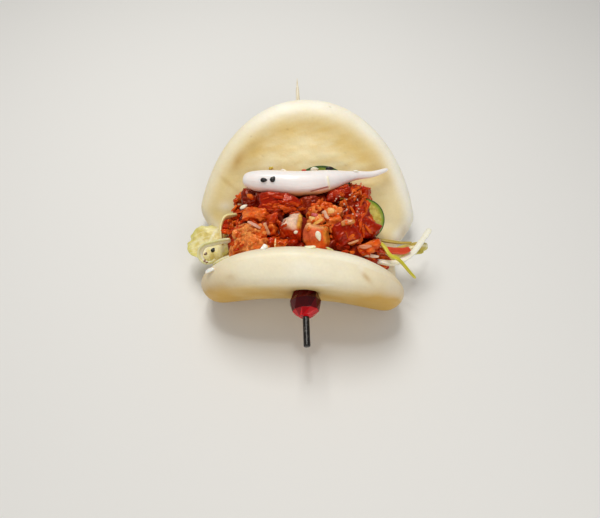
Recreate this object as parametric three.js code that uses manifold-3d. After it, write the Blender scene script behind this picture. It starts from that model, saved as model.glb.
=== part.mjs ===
// Pork rib bao: a soft steamed bun folded open like a taco, filled with glazed pork,
// topped with a pickled shallot and held by a beaded bamboo pick.
// Millimetres, +Z up. The front flap faces -Y and the rear flap leans back towards +Y.

import * as THREE from 'three';
import { mergeVertices } from 'three/addons/utils/BufferGeometryUtils.js';
import Module from 'manifold-3d';

const wasm = await Module();
wasm.setup();

// Driving sizes of the bun. Lengths along the dough start at the middle of its flat base,
// and a flap reaches its full width at its spread, measured the same way.
const doughThickness = 12.5;
const flapSideThinning = 3.0;
const rearThinningShare = 0.6;
const frontThinningShare = 0.5;
const frontThickening = 3.0;
const thickeningSpread = 20;
const thickeningSideLoss = 0.5;
const thinningSpread = 15;
const rearLength = 63.5;
const frontLength = 43.4;
const foldHalfWidth = 35;
const rearHalfWidth = 45.9;
const frontHalfWidth = 38.4;
const rearSpread = 20;
const frontSpread = 36;
const rearRoundness = 2.08;
const frontRoundness = 3.5;
const rimSharpness = 10;
const frontInnerSharpness = 6;
const frontOuterSharpness = 24;
const frontEndSharpness = 5;
const rearLean = THREE.MathUtils.degToRad(42);
const frontLean = THREE.MathUtils.degToRad(70);
const bendRadius = 11;
const rearBaseLength = 9;
const frontBaseLength = 5;
const frontBaseSpread = 4;
const baseMidHeight = 5.7;
const rearDrift = -0.02;
const frontDrift = 0.04;
const frontFlare = 3.4;
const reliefStart = 12;
const reliefSpread = 20;
const valleyDepth = 1.0;
const valleyEdgeShare = 0.8;
const valleyHalfWidth = 0.08;
const bellyHeight = 2.4;
const bellyEdgeShare = 0.74;
const bellySlope = 0.26;
const doughRings = 50;
const evenRingShare = 0.4;
const doughSegments = 28;

// The filling is a heap between the flaps, with chunks of meat over a smaller core.
const heapCentre = new THREE.Vector3(-0.6, 2.2, 15);
const heapHalfSize = new THREE.Vector3(25, 21, 11);
const heapBoxiness = 3;
const chunkRadius = 5.4;
const chunkCount = 54;
const chunkSizes = { smallest: 0.85, spread: 0.3 };
const lowestChunk = -0.15;
const flapSide = 0.75;
const flapTop = 0.5;
const chunkShape = new THREE.Vector3(0.9, 0.8, 0.7);
const chunkVariety = new THREE.Vector3(0.35, 0.3, 0.25);
const chunkRoughness = 0.3;

// Half sizes of a sesame seed and of the pale onion ends that show along the front rim.
const seedHalfSize = new THREE.Vector3(1.6, 0.95, 0.55);
const onionHalfSize = new THREE.Vector3(2.2, 0.95, 0.6);

// The pick runs from its black end, through the bead, the bun and the heap, to its point.
const pickTip = new THREE.Vector3(-7.8, 80.7, 29.2);
const beadCentre = new THREE.Vector3(0, -31.9, 21);
const stickRadius = 1.1;
const pointLength = 22;
const pointShoulder = { lengthShare: 0.4, radiusShare: 0.66 };
const beadRadius = 5.5;
const handleReach = 15.3;
const handleEndRound = 0.35;
const clearance = 0.3;

// Slices of cucumber beside and behind the heap. A slice is cut flat this far from its middle.
const sliceThickness = 2.2;
const backSliceRadius = 13;
const backSliceCut = 5.5;
const backSliceLean = THREE.MathUtils.degToRad(-46);
const backSliceTop = new THREE.Vector3(4.6, 24.3, 29.5);
const rightSliceRadius = 8;
const rightSliceCut = 1.5;
const rightSliceTurn = THREE.MathUtils.degToRad(84);
const rightSliceLean = THREE.MathUtils.degToRad(-50);
const rightSliceMiddle = new THREE.Vector3(20.6, 4.8, 21.4);

// The shallot's axis, and its half width at lengths along it.
const shallotAxis = new THREE.CatmullRomCurve3([
  new THREE.Vector3(-25.2, 13.7, 30.8),
  new THREE.Vector3(-14.2, 12.6, 31.2),
  new THREE.Vector3(-2.7, 12.6, 31.2),
  new THREE.Vector3(7.5, 15.4, 30.8),
  new THREE.Vector3(16.5, 19.6, 29.6),
  new THREE.Vector3(30.5, 25.4, 27.1),
]);
const shallotOutline = new THREE.SplineCurve([
  new THREE.Vector2(0, 0),
  new THREE.Vector2(2.9, 1.6),
  new THREE.Vector2(4.2, 7),
  new THREE.Vector2(4.6, 15),
  new THREE.Vector2(4.4, 25),
  new THREE.Vector2(3.5, 31),
  new THREE.Vector2(2.2, 37),
  new THREE.Vector2(1.65, 43),
  new THREE.Vector2(1.2, 48),
  new THREE.Vector2(0, 52),
]);

// A curl of spring onion opens at the left. It starts in the meat and turns round its middle.
const curlRadius = 3.5;
const curlWidth = 2.4;
const curlThickness = 0.9;
const curlStart = [[8.4, 4.2, -0.6], [4.55, 4.03, -0.2]];
const curlFirstAngle = 85;
const curlSweep = 235;
const curlRise = 1.68;
const curlTilt = THREE.MathUtils.degToRad(34);
const curlRoll = THREE.MathUtils.degToRad(-14);
const curlMiddle = new THREE.Vector3(-35.4, -11.8, 18.2);

// Salad leaves: the height of their waves, and how fast the waves follow each other.
const leafHalfThickness = 0.45;
const leafLengthWave = 0.9;
const leafWidthWave = 0.6;
const leafWidthWaves = 2.1;
const leaves = {
  left: { length: 17, width: 19, waves: 2.2, turn: 70, place: [-37.2, -4.6, 13.9] },
  right: { length: 22, width: 7, waves: 3.4, turn: 14, place: [36.3, -3.6, 14.2] },
};

const doughColour = 0xeee4c4;
const porkColour = 0xa8280e;
const shallotColour = 0xf2e4e2;
const cucumberColour = 0x8fae45;
const paleShredColour = 0xe8e4b4;
const greenShredColour = 0xc9cc3a;
const pepperColour = 0xd8421a;
const leafColour = 0xdccf6e;
const bambooColour = 0xe9dcae;
const beadColour = 0xb00c12;
const handleColour = 0x151311;

let drawState = 20261130;

// A repeatable draw between 0 and 1.
function draw() {
  drawState = (drawState * 1664525 + 1013904223) % 4294967296;
  return drawState / 4294967296;
}

function smooth(value) {
  const t = THREE.MathUtils.clamp(value, 0, 1);
  return t * t * (3 - 2 * t);
}

// Joins equal corners, so that only positions remain and the surface is closed.
function welded(geometry) {
  geometry.deleteAttribute('normal');
  geometry.deleteAttribute('uv');
  return mergeVertices(geometry, 1e-4);
}

function toSolid(geometry) {
  const merged = welded(geometry);
  return new wasm.Manifold(new wasm.Mesh({
    numProp: 3,
    vertProperties: new Float32Array(merged.attributes.position.array),
    triVerts: new Uint32Array(merged.index.array),
  }));
}

function toGeometry(solid) {
  const mesh = solid.getMesh();
  const geometry = new THREE.BufferGeometry();
  geometry.setAttribute('position', new THREE.BufferAttribute(new Float32Array(mesh.vertProperties), 3));
  geometry.setIndex(new THREE.BufferAttribute(new Uint32Array(mesh.triVerts), 1));
  geometry.computeVertexNormals();
  return geometry;
}

// Moves every corner of a geometry by a function that changes the point in place.
function reshape(geometry, change) {
  const corner = new THREE.Vector3();
  const position = geometry.attributes.position;
  for (let i = 0; i < position.count; i += 1) {
    corner.fromBufferAttribute(position, i);
    change(corner);
    position.setXYZ(i, corner.x, corner.y, corner.z);
  }
  return geometry;
}

// Bends the flat dough: u runs across, v along the dough and s out of its inner face.
// The base reaches further forward at its two ends than in the middle.
function bendDough(u, v, s, acrossShare) {
  const rear = v >= 0;
  const baseLength = rear ? rearBaseLength : frontBaseLength + frontBaseSpread * acrossShare ** 2;
  const pastBase = Math.max(Math.abs(v) - baseLength, 0);
  const lean = rear ? rearLean : frontLean;
  const angle = Math.min(pastBase / bendRadius, lean);
  const straight = Math.max(pastBase - bendRadius * lean, 0);
  const along = Math.min(Math.abs(v), baseLength) + bendRadius * Math.sin(angle)
    + straight * Math.cos(angle) - s * Math.sin(angle);
  const height = baseMidHeight + bendRadius * (1 - Math.cos(angle))
    + straight * Math.sin(angle) + s * Math.cos(angle);
  const drift = rear ? rearDrift * v : frontDrift * v;
  return new THREE.Vector3(u + drift, rear ? along : -along, Math.max(height, 0));
}

// The inner face dips inside the rim of the rear flap and swells again towards the heap.
function innerRelief(edgeShare, v) {
  const onRear = smooth((v - reliefStart) / reliefSpread);
  const valley = Math.exp(-(((edgeShare - valleyEdgeShare) / valleyHalfWidth) ** 2));
  const belly = smooth((bellyEdgeShare - edgeShare) / bellySlope);
  return onRear * (bellyHeight * belly - valleyDepth * valley);
}

// The dough is an oval disc, folded into two flaps on a flat base. Its rim is round,
// but the front flap is thicker and has a sharper edge below its rim.
function doughGeometry(extra) {
  const disc = new THREE.SphereGeometry(1, doughSegments, doughRings);
  return reshape(disc, (p) => {
    const polar = Math.acos(THREE.MathUtils.clamp(p.y, -1, 1));
    const share = THREE.MathUtils.lerp(Math.cos(polar), 1 - 2 * polar / Math.PI, evenRingShare);
    const ring = Math.hypot(p.x, p.z);
    const side = ring > 1e-6 ? p.x / ring : 0;
    const rear = share > 0;
    const v = share * (rear ? rearLength : frontLength);
    const spread = smooth(Math.abs(v) / (rear ? rearSpread : frontSpread));
    const fullWidth = THREE.MathUtils.lerp(foldHalfWidth, rear ? rearHalfWidth : frontHalfWidth, spread);
    const roundness = rear ? rearRoundness : frontRoundness;
    const endShare = Math.abs(share) ** roundness;
    const outline = Math.max(1 - endShare, 0) ** (1 / roundness);
    const acrossShare = side * outline;
    const u = acrossShare * fullWidth;
    const edgeShare = Math.min((endShare + Math.abs(acrossShare) ** roundness) ** (1 / roundness), 1);
    const face = ring > 1e-6 ? p.z / ring : 0;
    const onFace = Math.abs(face) < 1e-6 ? 0 : Math.sign(face);
    const onFront = smooth(-v / thickeningSpread);
    const outerSharpness = THREE.MathUtils.lerp(frontOuterSharpness, frontEndSharpness, acrossShare ** 2);
    const frontSharpness = onFace > 0 ? frontInnerSharpness : outerSharpness;
    const sharpness = THREE.MathUtils.lerp(rimSharpness, frontSharpness, onFront);
    const thinned = (rear ? rearThinningShare : frontThinningShare) * smooth(Math.abs(v) / thinningSpread);
    const thickness = doughThickness - flapSideThinning * acrossShare ** 2 * thinned;
    const midShare = 1 - thickeningSideLoss * acrossShare ** 2;
    const added = onFace < 0 ? frontThickening * onFront * midShare : 0;
    const half = (thickness / 2 + added) * Math.sqrt(1 - edgeShare ** sharpness);
    const flare = frontFlare * acrossShare ** 2 * onFront;
    const relief = onFace > 0 ? innerRelief(edgeShare, v) : 0;
    const grown = 1 + extra / rearLength;
    const lift = onFace * (half + extra) + relief - flare;
    p.copy(bendDough(u * grown, v * grown, lift, acrossShare));
  });
}

const beadAxis = pickTip.clone().sub(beadCentre).normalize();

// Turns a shape made along +Y to lie along the pick, starting at the bead's middle.
function alongPick(geometry) {
  const turn = new THREE.Quaternion().setFromUnitVectors(new THREE.Vector3(0, 1, 0), beadAxis);
  geometry.applyQuaternion(turn);
  return geometry.translate(beadCentre.x, beadCentre.y, beadCentre.z);
}

function stickGeometry() {
  const length = pickTip.distanceTo(beadCentre);
  const shoulder = length - pointLength * pointShoulder.lengthShare;
  const profile = [
    new THREE.Vector2(0, clearance),
    new THREE.Vector2(stickRadius, clearance),
    new THREE.Vector2(stickRadius, length - pointLength),
    new THREE.Vector2(stickRadius * pointShoulder.radiusShare, shoulder),
    new THREE.Vector2(0, length),
  ];
  return alongPick(new THREE.LatheGeometry(profile, 12));
}

function handleGeometry() {
  const profile = [
    new THREE.Vector2(0, -handleReach),
    new THREE.Vector2(stickRadius - handleEndRound, -handleReach),
    new THREE.Vector2(stickRadius, handleEndRound - handleReach),
    new THREE.Vector2(stickRadius, 0),
    new THREE.Vector2(0, 0),
  ];
  return alongPick(new THREE.LatheGeometry(profile, 12));
}

// The space that the stick needs, with its clearance, over more than the whole length of the pick.
function stickChannel() {
  const radius = stickRadius + clearance;
  const reach = 2 * (pickTip.distanceTo(beadCentre) + handleReach);
  return toSolid(alongPick(new THREE.CylinderGeometry(radius, radius, reach, 12)));
}

// The bead's dent in the soft dough is the bead itself, grown by the clearance.
function beadGeometry(radius) {
  return alongPick(new THREE.IcosahedronGeometry(radius, 1));
}

// A piece of a round slice standing in the XZ plane, its skin up, cut flat at one height.
function sliceGeometry(radius, cutHeight, extra) {
  const grown = radius + extra;
  const thickness = sliceThickness + 2 * extra;
  const half = Math.acos((cutHeight - extra) / grown);
  const outline = new THREE.Shape();
  outline.absarc(0, 0, grown, Math.PI / 2 - half, Math.PI / 2 + half, false);
  outline.closePath();
  const settings = { depth: thickness, bevelEnabled: false, curveSegments: 16 };
  const slice = new THREE.ExtrudeGeometry(outline, settings);
  slice.translate(0, 0, -thickness / 2);
  return slice.rotateX(Math.PI / 2);
}

// The slice behind the shallot leans like the rear flap, and only its top edge shows.
function backSlice(extra) {
  const slice = sliceGeometry(backSliceRadius, backSliceCut, extra);
  slice.translate(0, 0, -backSliceRadius);
  slice.rotateX(backSliceLean);
  return slice.translate(backSliceTop.x, backSliceTop.y, backSliceTop.z);
}

// The slice at the right end of the heap turns its skin outwards.
function rightSlice(extra) {
  const slice = sliceGeometry(rightSliceRadius, rightSliceCut, extra);
  slice.rotateY(rightSliceTurn);
  slice.rotateX(rightSliceLean);
  return slice.translate(rightSliceMiddle.x, rightSliceMiddle.y, rightSliceMiddle.z);
}

// The shallot is thick and round at its head and thins into a tail.
function shallotGeometry(extra) {
  const profile = shallotOutline.getPoints(28).map((p) => new THREE.Vector2(Math.max(p.x, 0), p.y));
  profile[0].x = 0;
  profile[profile.length - 1].x = 0;
  const length = profile[profile.length - 1].y;
  const up = new THREE.Vector3(0, 0, 1);
  return reshape(new THREE.LatheGeometry(profile, 16), (p) => {
    const share = THREE.MathUtils.clamp(p.y / length, 0, 1);
    const forward = shallotAxis.getTangentAt(share);
    const sideways = forward.clone().cross(up).normalize();
    const lift = sideways.clone().cross(forward);
    const radius = Math.hypot(p.x, p.z);
    const grown = radius > 1e-6 ? (radius + extra) / radius : 1;
    const centre = shallotAxis.getPointAt(share);
    centre.addScaledVector(sideways, p.x * grown);
    centre.addScaledVector(lift, p.z * grown);
    centre.addScaledVector(forward, radius > 1e-6 ? 0 : extra * Math.sign(share - 0.5));
    p.copy(centre);
  });
}

// A lump of meat: a rough ball, squashed and turned at random.
function chunk(centre, radius) {
  const ball = welded(new THREE.IcosahedronGeometry(1, 1));
  const size = new THREE.Vector3(draw(), draw(), draw()).multiply(chunkVariety).add(chunkShape);
  const turn = new THREE.Quaternion().setFromEuler(
    new THREE.Euler(2 * Math.PI * draw(), 2 * Math.PI * draw(), 2 * Math.PI * draw()),
  );
  const smallest = 1 - chunkRoughness / 2;
  return toSolid(reshape(ball, (p) => {
    const bump = smallest + chunkRoughness * draw();
    p.multiply(size).multiplyScalar(radius * bump).applyQuaternion(turn).add(centre);
  }));
}

// A grain laid on a surface that looks along the given direction.
function grainAt(place, facing, turn, halfSize) {
  const grain = new THREE.SphereGeometry(1, 6, 4);
  grain.scale(halfSize.x, halfSize.y, halfSize.z);
  grain.rotateZ(turn);
  const outward = facing.clone().normalize();
  grain.applyQuaternion(new THREE.Quaternion().setFromUnitVectors(new THREE.Vector3(0, 0, 1), outward));
  grain.translate(place.x, place.y, place.z);
  return toSolid(grain);
}

// Lays a grain where a straight look from above the front, towards the aim, first meets a surface.
const lookFrom = new THREE.Vector3(-2.5, -107.3, 155.2);

function grainOn(geometry, aim, turn, halfSize) {
  const target = new THREE.Mesh(geometry, new THREE.MeshStandardMaterial({ side: THREE.DoubleSide }));
  const direction = new THREE.Vector3(...aim).sub(lookFrom).normalize();
  const hit = new THREE.Raycaster(lookFrom, direction).intersectObject(target)[0];
  return grainAt(hit.point, hit.face.normal, turn, halfSize);
}

// Adds grains to a solid, each towards its own aim and turned a little further than the last.
function sprinkle(solid, surface, aims, halfSize) {
  return aims.reduce((whole, aim, i) => whole.add(grainOn(surface, aim, 0.4 + i, halfSize)), solid);
}

// Pushes a direction out to the heap's full, rather square-shouldered surface.
function ontoHeap(direction) {
  const sum = Math.abs(direction.x) ** heapBoxiness + Math.abs(direction.y) ** heapBoxiness
    + Math.abs(direction.z) ** heapBoxiness;
  return direction.multiplyScalar(sum ** (-1 / heapBoxiness)).multiply(heapHalfSize).add(heapCentre);
}

// The meat covers the core evenly, along a spiral over its upper half and both open ends.
function heapChunks() {
  const goldenTurn = Math.PI * (3 - Math.sqrt(5));
  const chunks = [];
  for (let i = 0; i < chunkCount; i += 1) {
    const up = THREE.MathUtils.lerp(1, lowestChunk, (i + 0.5) / chunkCount);
    const around = i * goldenTurn;
    const level = Math.sqrt(1 - up * up);
    const spot = new THREE.Vector3(level * Math.cos(around), level * Math.sin(around), up);
    // A chunk that points to a flap's side of the heap, and below its top, would be in the dough.
    const insideDough = Math.abs(spot.y) > flapSide && up < flapTop;
    if (!insideDough) {
      const radius = chunkRadius * (chunkSizes.smallest + chunkSizes.spread * draw());
      chunks.push(chunk(ontoHeap(spot), radius));
    }
  }
  return chunks;
}

// The heap with its grains, less the room that its neighbours need.
function fillingSolid(cutters) {
  const core = toSolid(reshape(new THREE.SphereGeometry(1, 32, 16), ontoHeap));
  const lumpy = heapChunks().reduce((whole, lump) => whole.add(lump), core);
  const surface = toGeometry(lumpy);
  const sesame = [[-24.3, 2.2, 29], [3.2, -11.7, 32], [-4.3, -9.6, 31]];
  const onionEnds = [[-15.2, -12.4, 25], [1.1, -11.9, 26], [7.1, -12.4, 26]];
  const seeded = sprinkle(lumpy, surface, sesame, seedHalfSize);
  const whole = sprinkle(seeded, surface, onionEnds, onionHalfSize);
  const heap = cutters.reduce((rest, cutter) => rest.subtract(cutter), whole);
  return heap.decompose().sort((a, b) => b.volume() - a.volume())[0];
}

// Moves the end of a route away from its neighbour.
function lengthenEnd(end, neighbour, extra) {
  end.addScaledVector(end.clone().sub(neighbour).normalize(), extra);
}

// A ribbon of rectangular section laid along a smooth curve through a few places.
function ribbon(places, width, thickness, steps, extra) {
  const acrossHalf = thickness / 2 + extra;
  const upHalf = width / 2 + extra;
  const section = new THREE.Shape();
  section.moveTo(-acrossHalf, -upHalf);
  section.lineTo(acrossHalf, -upHalf);
  section.lineTo(acrossHalf, upHalf);
  section.lineTo(-acrossHalf, upHalf);
  section.closePath();
  const route = places.map((place) => new THREE.Vector3(...place));
  lengthenEnd(route[0], route[1], extra);
  lengthenEnd(route[route.length - 1], route[route.length - 2], extra);
  const extrudePath = new THREE.CatmullRomCurve3(route);
  return new THREE.ExtrudeGeometry(section, { steps, bevelEnabled: false, extrudePath });
}

// A curl of spring onion: a ribbon that comes out of the meat and bends into an open ring.
function curlGeometry(extra) {
  const places = [...curlStart];
  const stations = 14;
  for (let i = 0; i <= stations; i += 1) {
    const share = i / stations;
    const angle = THREE.MathUtils.degToRad(curlFirstAngle + curlSweep * share);
    places.push([curlRadius * Math.cos(angle), curlRadius * Math.sin(angle), curlRise * share]);
  }
  const curl = ribbon(places, curlWidth, curlThickness, 32, extra);
  curl.rotateX(curlTilt);
  curl.rotateY(curlRoll);
  return curl.translate(curlMiddle.x, curlMiddle.y, curlMiddle.z);
}

// A thin leaf whose two faces wave together.
function leafGeometry({ length, width, waves, turn, place }, extra) {
  const leaf = new THREE.SphereGeometry(1, 20, 10);
  leaf.rotateX(Math.PI / 2);
  reshape(leaf, (p) => {
    const wave = leafLengthWave * Math.sin(waves * p.x) + leafWidthWave * Math.cos(leafWidthWaves * p.y);
    const lift = Math.abs(p.z) < 1e-6 ? 0 : Math.sign(p.z) * (leafHalfThickness + extra);
    const rim = Math.sqrt(Math.max(1 - Math.min(p.x ** 2 + p.y ** 2, 1) ** 4, 0));
    p.set(p.x * (length / 2 + extra), p.y * (width / 2 + extra), wave + lift * rim);
  });
  leaf.rotateZ(THREE.MathUtils.degToRad(turn));
  return leaf.translate(...place);
}

function leftLeaf(extra) {
  return leafGeometry(leaves.left, extra);
}

function rightLeaf(extra) {
  return leafGeometry(leaves.right, extra);
}

// Shreds that hang out of both ends of the bun, each from inside the meat to its free end.
const shreds = [
  {
    name: 'shred_left_upper',
    route: [
      [-27, 4.6, 20.6], [-31.2, 2.6, 21.4], [-32.4, -1.4, 20.3],
      [-31.8, -5.4, 19.2], [-31.2, -8, 18.2],
    ],
    width: 1.1,
    thickness: 2.6,
    colour: paleShredColour,
  },
  {
    name: 'shred_left_lower',
    route: [[-24, -12.2, 18.6], [-28.6, -13.6, 18.2], [-31, -14.2, 17.4], [-34, -15, 15.2]],
    width: 2,
    thickness: 1,
    colour: paleShredColour,
  },
  {
    name: 'shred_right_white',
    route: [
      [24.6, -12.4, 19.2], [31, -13.4, 20], [34, -12, 19.7],
      [38.2, -8.4, 19.2], [42.3, -2.6, 19], [46.6, 4.3, 18.5],
    ],
    width: 1.9,
    thickness: 1.5,
    colour: paleShredColour,
  },
  {
    name: 'shred_right_green',
    route: [
      [24.4, -5.4, 23], [27.1, -9.4, 24.2], [29.2, -13, 23.9],
      [31.8, -13.9, 23.4], [37.2, -16.4, 18.5], [39.4, -17.3, 16.5],
    ],
    width: 1.3,
    thickness: 1,
    colour: greenShredColour,
  },
  {
    name: 'shred_right_thin',
    route: [[26, -3.6, 20.5], [30.6, -4.4, 20.7], [34, -4.6, 20.5], [38.5, -4, 20.2]],
    width: 1.2,
    thickness: 0.8,
    colour: greenShredColour,
  },
  {
    name: 'pepper_right',
    route: [[25.4, -9, 21.9], [29.8, -9.4, 22], [32, -9.3, 21.8], [34.8, -8.8, 21.3], [37.2, -7.5, 20.9]],
    width: 2.8,
    thickness: 1.4,
    colour: pepperColour,
  },
];

function shredGeometry(shred, extra) {
  return ribbon(shred.route, shred.width, shred.thickness, 18, extra);
}

const channel = stickChannel();
const dent = toSolid(beadGeometry(beadRadius + clearance));
const bun = toSolid(doughGeometry(0)).subtract(channel).subtract(dent);
const neighbours = [
  doughGeometry,
  shallotGeometry,
  backSlice,
  rightSlice,
  curlGeometry,
  leftLeaf,
  rightLeaf,
];
const filling = fillingSolid([
  channel,
  ...neighbours.map((shape) => toSolid(shape(clearance))),
  ...shreds.map((shred) => toSolid(shredGeometry(shred, clearance))),
]);
const shallotSkin = shallotGeometry(0);
const eyes = [[-16.9, 9.3, 35.5], [-13.7, 9.5, 35.8]];
const shallot = sprinkle(toSolid(shallotSkin), shallotSkin, eyes, seedHalfSize);
const backSliceSkin = backSlice(0);
const sliceSeeds = [[1.6, 21.8, 30], [7, 21.6, 30]];
const seededSlice = sprinkle(toSolid(backSliceSkin), backSliceSkin, sliceSeeds, seedHalfSize);
const curlSkin = curlGeometry(0);
const curl = sprinkle(toSolid(curlSkin), curlSkin, [[-34.2, -8.6, 20.6]], seedHalfSize);
const bead = toSolid(beadGeometry(beadRadius)).subtract(channel);

const group = new THREE.Group();

function addPiece(name, geometry, colour, roughness) {
  const material = new THREE.MeshStandardMaterial({ color: colour, roughness, metalness: 0 });
  const mesh = new THREE.Mesh(geometry, material);
  mesh.name = name;
  group.add(mesh);
}

addPiece('bun', toGeometry(bun), doughColour, 0.75);
addPiece('pork_filling', toGeometry(filling), porkColour, 0.3);
addPiece('shallot', toGeometry(shallot), shallotColour, 0.35);
addPiece('cucumber_back', toGeometry(seededSlice.subtract(channel)), cucumberColour, 0.4);
addPiece('cucumber_right', rightSlice(0), cucumberColour, 0.4);
addPiece('shred_left_curl', toGeometry(curl), paleShredColour, 0.45);
addPiece('leaf_left', leftLeaf(0), leafColour, 0.45);
addPiece('leaf_right', rightLeaf(0), leafColour, 0.45);
shreds.forEach((shred) => addPiece(shred.name, shredGeometry(shred, 0), shred.colour, 0.45));
addPiece('pick_stick', stickGeometry(), bambooColour, 0.6);
addPiece('pick_bead', toGeometry(bead), beadColour, 0.15);
addPiece('pick_handle', handleGeometry(), handleColour, 0.2);

// Stands the whole over the middle of the frame, on the height zero plane.
const size = new THREE.Box3().setFromObject(group);
const middle = size.getCenter(new THREE.Vector3());
group.position.set(-middle.x, -middle.y, -size.min.z);

export default group;
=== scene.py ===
import itertools
import math

import bpy
import numpy as np
from mathutils import Matrix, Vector
from mathutils.bvhtree import BVHTree


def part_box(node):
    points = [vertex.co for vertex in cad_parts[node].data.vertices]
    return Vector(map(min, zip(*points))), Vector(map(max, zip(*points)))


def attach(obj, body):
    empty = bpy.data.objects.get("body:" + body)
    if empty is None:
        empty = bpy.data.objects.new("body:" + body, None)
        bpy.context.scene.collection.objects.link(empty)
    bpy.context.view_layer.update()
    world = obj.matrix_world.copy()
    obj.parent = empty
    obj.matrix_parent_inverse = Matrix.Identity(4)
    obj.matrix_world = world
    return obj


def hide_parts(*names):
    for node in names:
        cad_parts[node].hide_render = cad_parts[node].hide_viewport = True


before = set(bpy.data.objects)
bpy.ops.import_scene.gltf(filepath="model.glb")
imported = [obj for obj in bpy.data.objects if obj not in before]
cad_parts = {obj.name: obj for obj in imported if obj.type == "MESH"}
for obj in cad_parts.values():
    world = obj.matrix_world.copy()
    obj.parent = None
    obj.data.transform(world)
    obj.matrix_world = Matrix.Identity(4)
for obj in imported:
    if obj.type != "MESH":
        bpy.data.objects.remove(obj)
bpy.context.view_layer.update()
rng = np.random.default_rng(20261130)

# All shapes are made in millimetres in the bun's own frame, whose origin is the middle of its flat base.
# SHIFT carries that frame to the row frame, whose origin is under the middle of the whole.
SHIFT = np.array([-0.432, -16.752, 0.0])


def to_frame(points):
    return (np.asarray(points, float) + SHIFT) * 0.001


def from_frame(points):
    return np.array(points) * 1000 - SHIFT


def place_object(name, data):
    made = bpy.data.objects.new(name, data)
    bpy.context.scene.collection.objects.link(made)
    return made


# The view of the photograph: where the camera stands in mm, how far it looks down and leans, and its focal
# length and frame in pixels.
LOOK_FROM = np.array([-2.5, -107.3, 155.2])
LOOK_DOWN = math.radians(55.27)
ROLL = math.radians(2.73)
FOCAL = 460.0
FRAME_SIZE = (600.0, 518.0)
SENSOR_WIDTH = 36.0
forward = np.array([0.0, math.cos(LOOK_DOWN), -math.sin(LOOK_DOWN)])
level_up = np.array([0.0, math.sin(LOOK_DOWN), math.cos(LOOK_DOWN)])
level_right = np.array([1.0, 0.0, 0.0])
view_right = math.cos(ROLL) * level_right + math.sin(ROLL) * level_up
view_up = -math.sin(ROLL) * level_right + math.cos(ROLL) * level_up

camera_data = bpy.data.cameras.new("camera")
camera_data.sensor_width = SENSOR_WIDTH
camera_data.lens = FOCAL / FRAME_SIZE[0] * SENSOR_WIDTH
camera_data.clip_start = 0.01
camera = place_object("camera", camera_data)
axes = Matrix([view_right, view_up, -forward]).transposed().to_4x4()
axes.translation = to_frame(LOOK_FROM)
camera.matrix_world = axes
bpy.context.scene.camera = camera


def pixel_ray(px, py):
    across = (px - FRAME_SIZE[0] / 2) / FOCAL
    upward = (FRAME_SIZE[1] / 2 - py) / FOCAL
    ray = forward + across * view_right + upward * view_up
    return ray / np.linalg.norm(ray)


def to_pixel(points):
    """The pixel columns and rows at which points show in the view of the photograph."""
    away = np.asarray(points, float) - LOOK_FROM
    depth = away @ forward
    column = FRAME_SIZE[0] / 2 + FOCAL * (away @ view_right) / depth
    row = FRAME_SIZE[1] / 2 - FOCAL * (away @ view_up) / depth
    return column, row


def cos_sin(degrees):
    angle = math.radians(degrees)
    return math.cos(angle), math.sin(angle)


def full_turn(count):
    return np.linspace(0, 2 * math.pi, count, endpoint=False)


def smooth(t):
    t = np.clip(t, 0, 1)
    return t * t * (3 - 2 * t)


def bell(distance, half_width):
    return np.exp(-((distance / half_width) ** 2))


def unit(vectors):
    return vectors / np.maximum(np.linalg.norm(vectors, axis=-1, keepdims=True), 1e-9)


def colour(text):
    """Linear red, green and blue of a web colour."""
    s = np.array([int(text[i:i + 2], 16) for i in (1, 3, 5)]) / 255
    return np.where(s <= 0.04045, s / 12.92, ((s + 0.055) / 1.055) ** 2.4)


def mix(a, b, share):
    """Colour a with a share of b, which is held between 0 and 1."""
    t = np.clip(share, 0, 1)[..., None]
    return a * (1 - t) + b * t


def noise(points, size, seed=0):
    """Gradient noise between about -1 and 1, whose lumps are size millimetres across."""
    p = np.asarray(points, float) / size + 13.7 * (seed + 1)
    cell = np.floor(p).astype(np.int64)
    f = p - cell
    fade = f * f * f * (f * (f * 6 - 15) + 10)
    total = np.zeros(len(p))
    for corner in itertools.product((0, 1), repeat=3):
        c = cell + corner
        h = (c[:, 0] * 73856093) ^ (c[:, 1] * 19349663) ^ (c[:, 2] * 83492791) ^ (seed * 2654435761)
        h = h & 0xFFFFFFFF
        h = ((h ^ (h >> 15)) * 2246822519) & 0xFFFFFFFF
        h = h ^ (h >> 13)
        slope = np.stack([h & 1023, (h >> 10) & 1023, (h >> 20) & 1023], 1) / 511.5 - 1
        weight = np.prod(np.where(corner, fade, 1 - fade), axis=1)
        total += weight * ((f - corner) * slope).sum(1)
    return np.clip(total * 1.5, -1, 1)


def layers(points, size, seed=0, count=3, gain=0.5):
    total = np.zeros(len(points))
    for i in range(count):
        total += gain ** i * noise(points, size / 2 ** i, seed + i)
    return total


# Materials. A mesh carries its broad colours in the tint attribute, and nodes add the fine detail.
def add_node(nodes, kind, **values):
    made = nodes.new("ShaderNode" + kind)
    for socket, value in values.items():
        made.inputs[socket.replace("_", " ")].default_value = value
    return made


NO_DEPTH = (0, (1, 1, 1), 1)
NO_COAT = (0, 0.03)
EVEN = (1, 1, 1)


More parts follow.
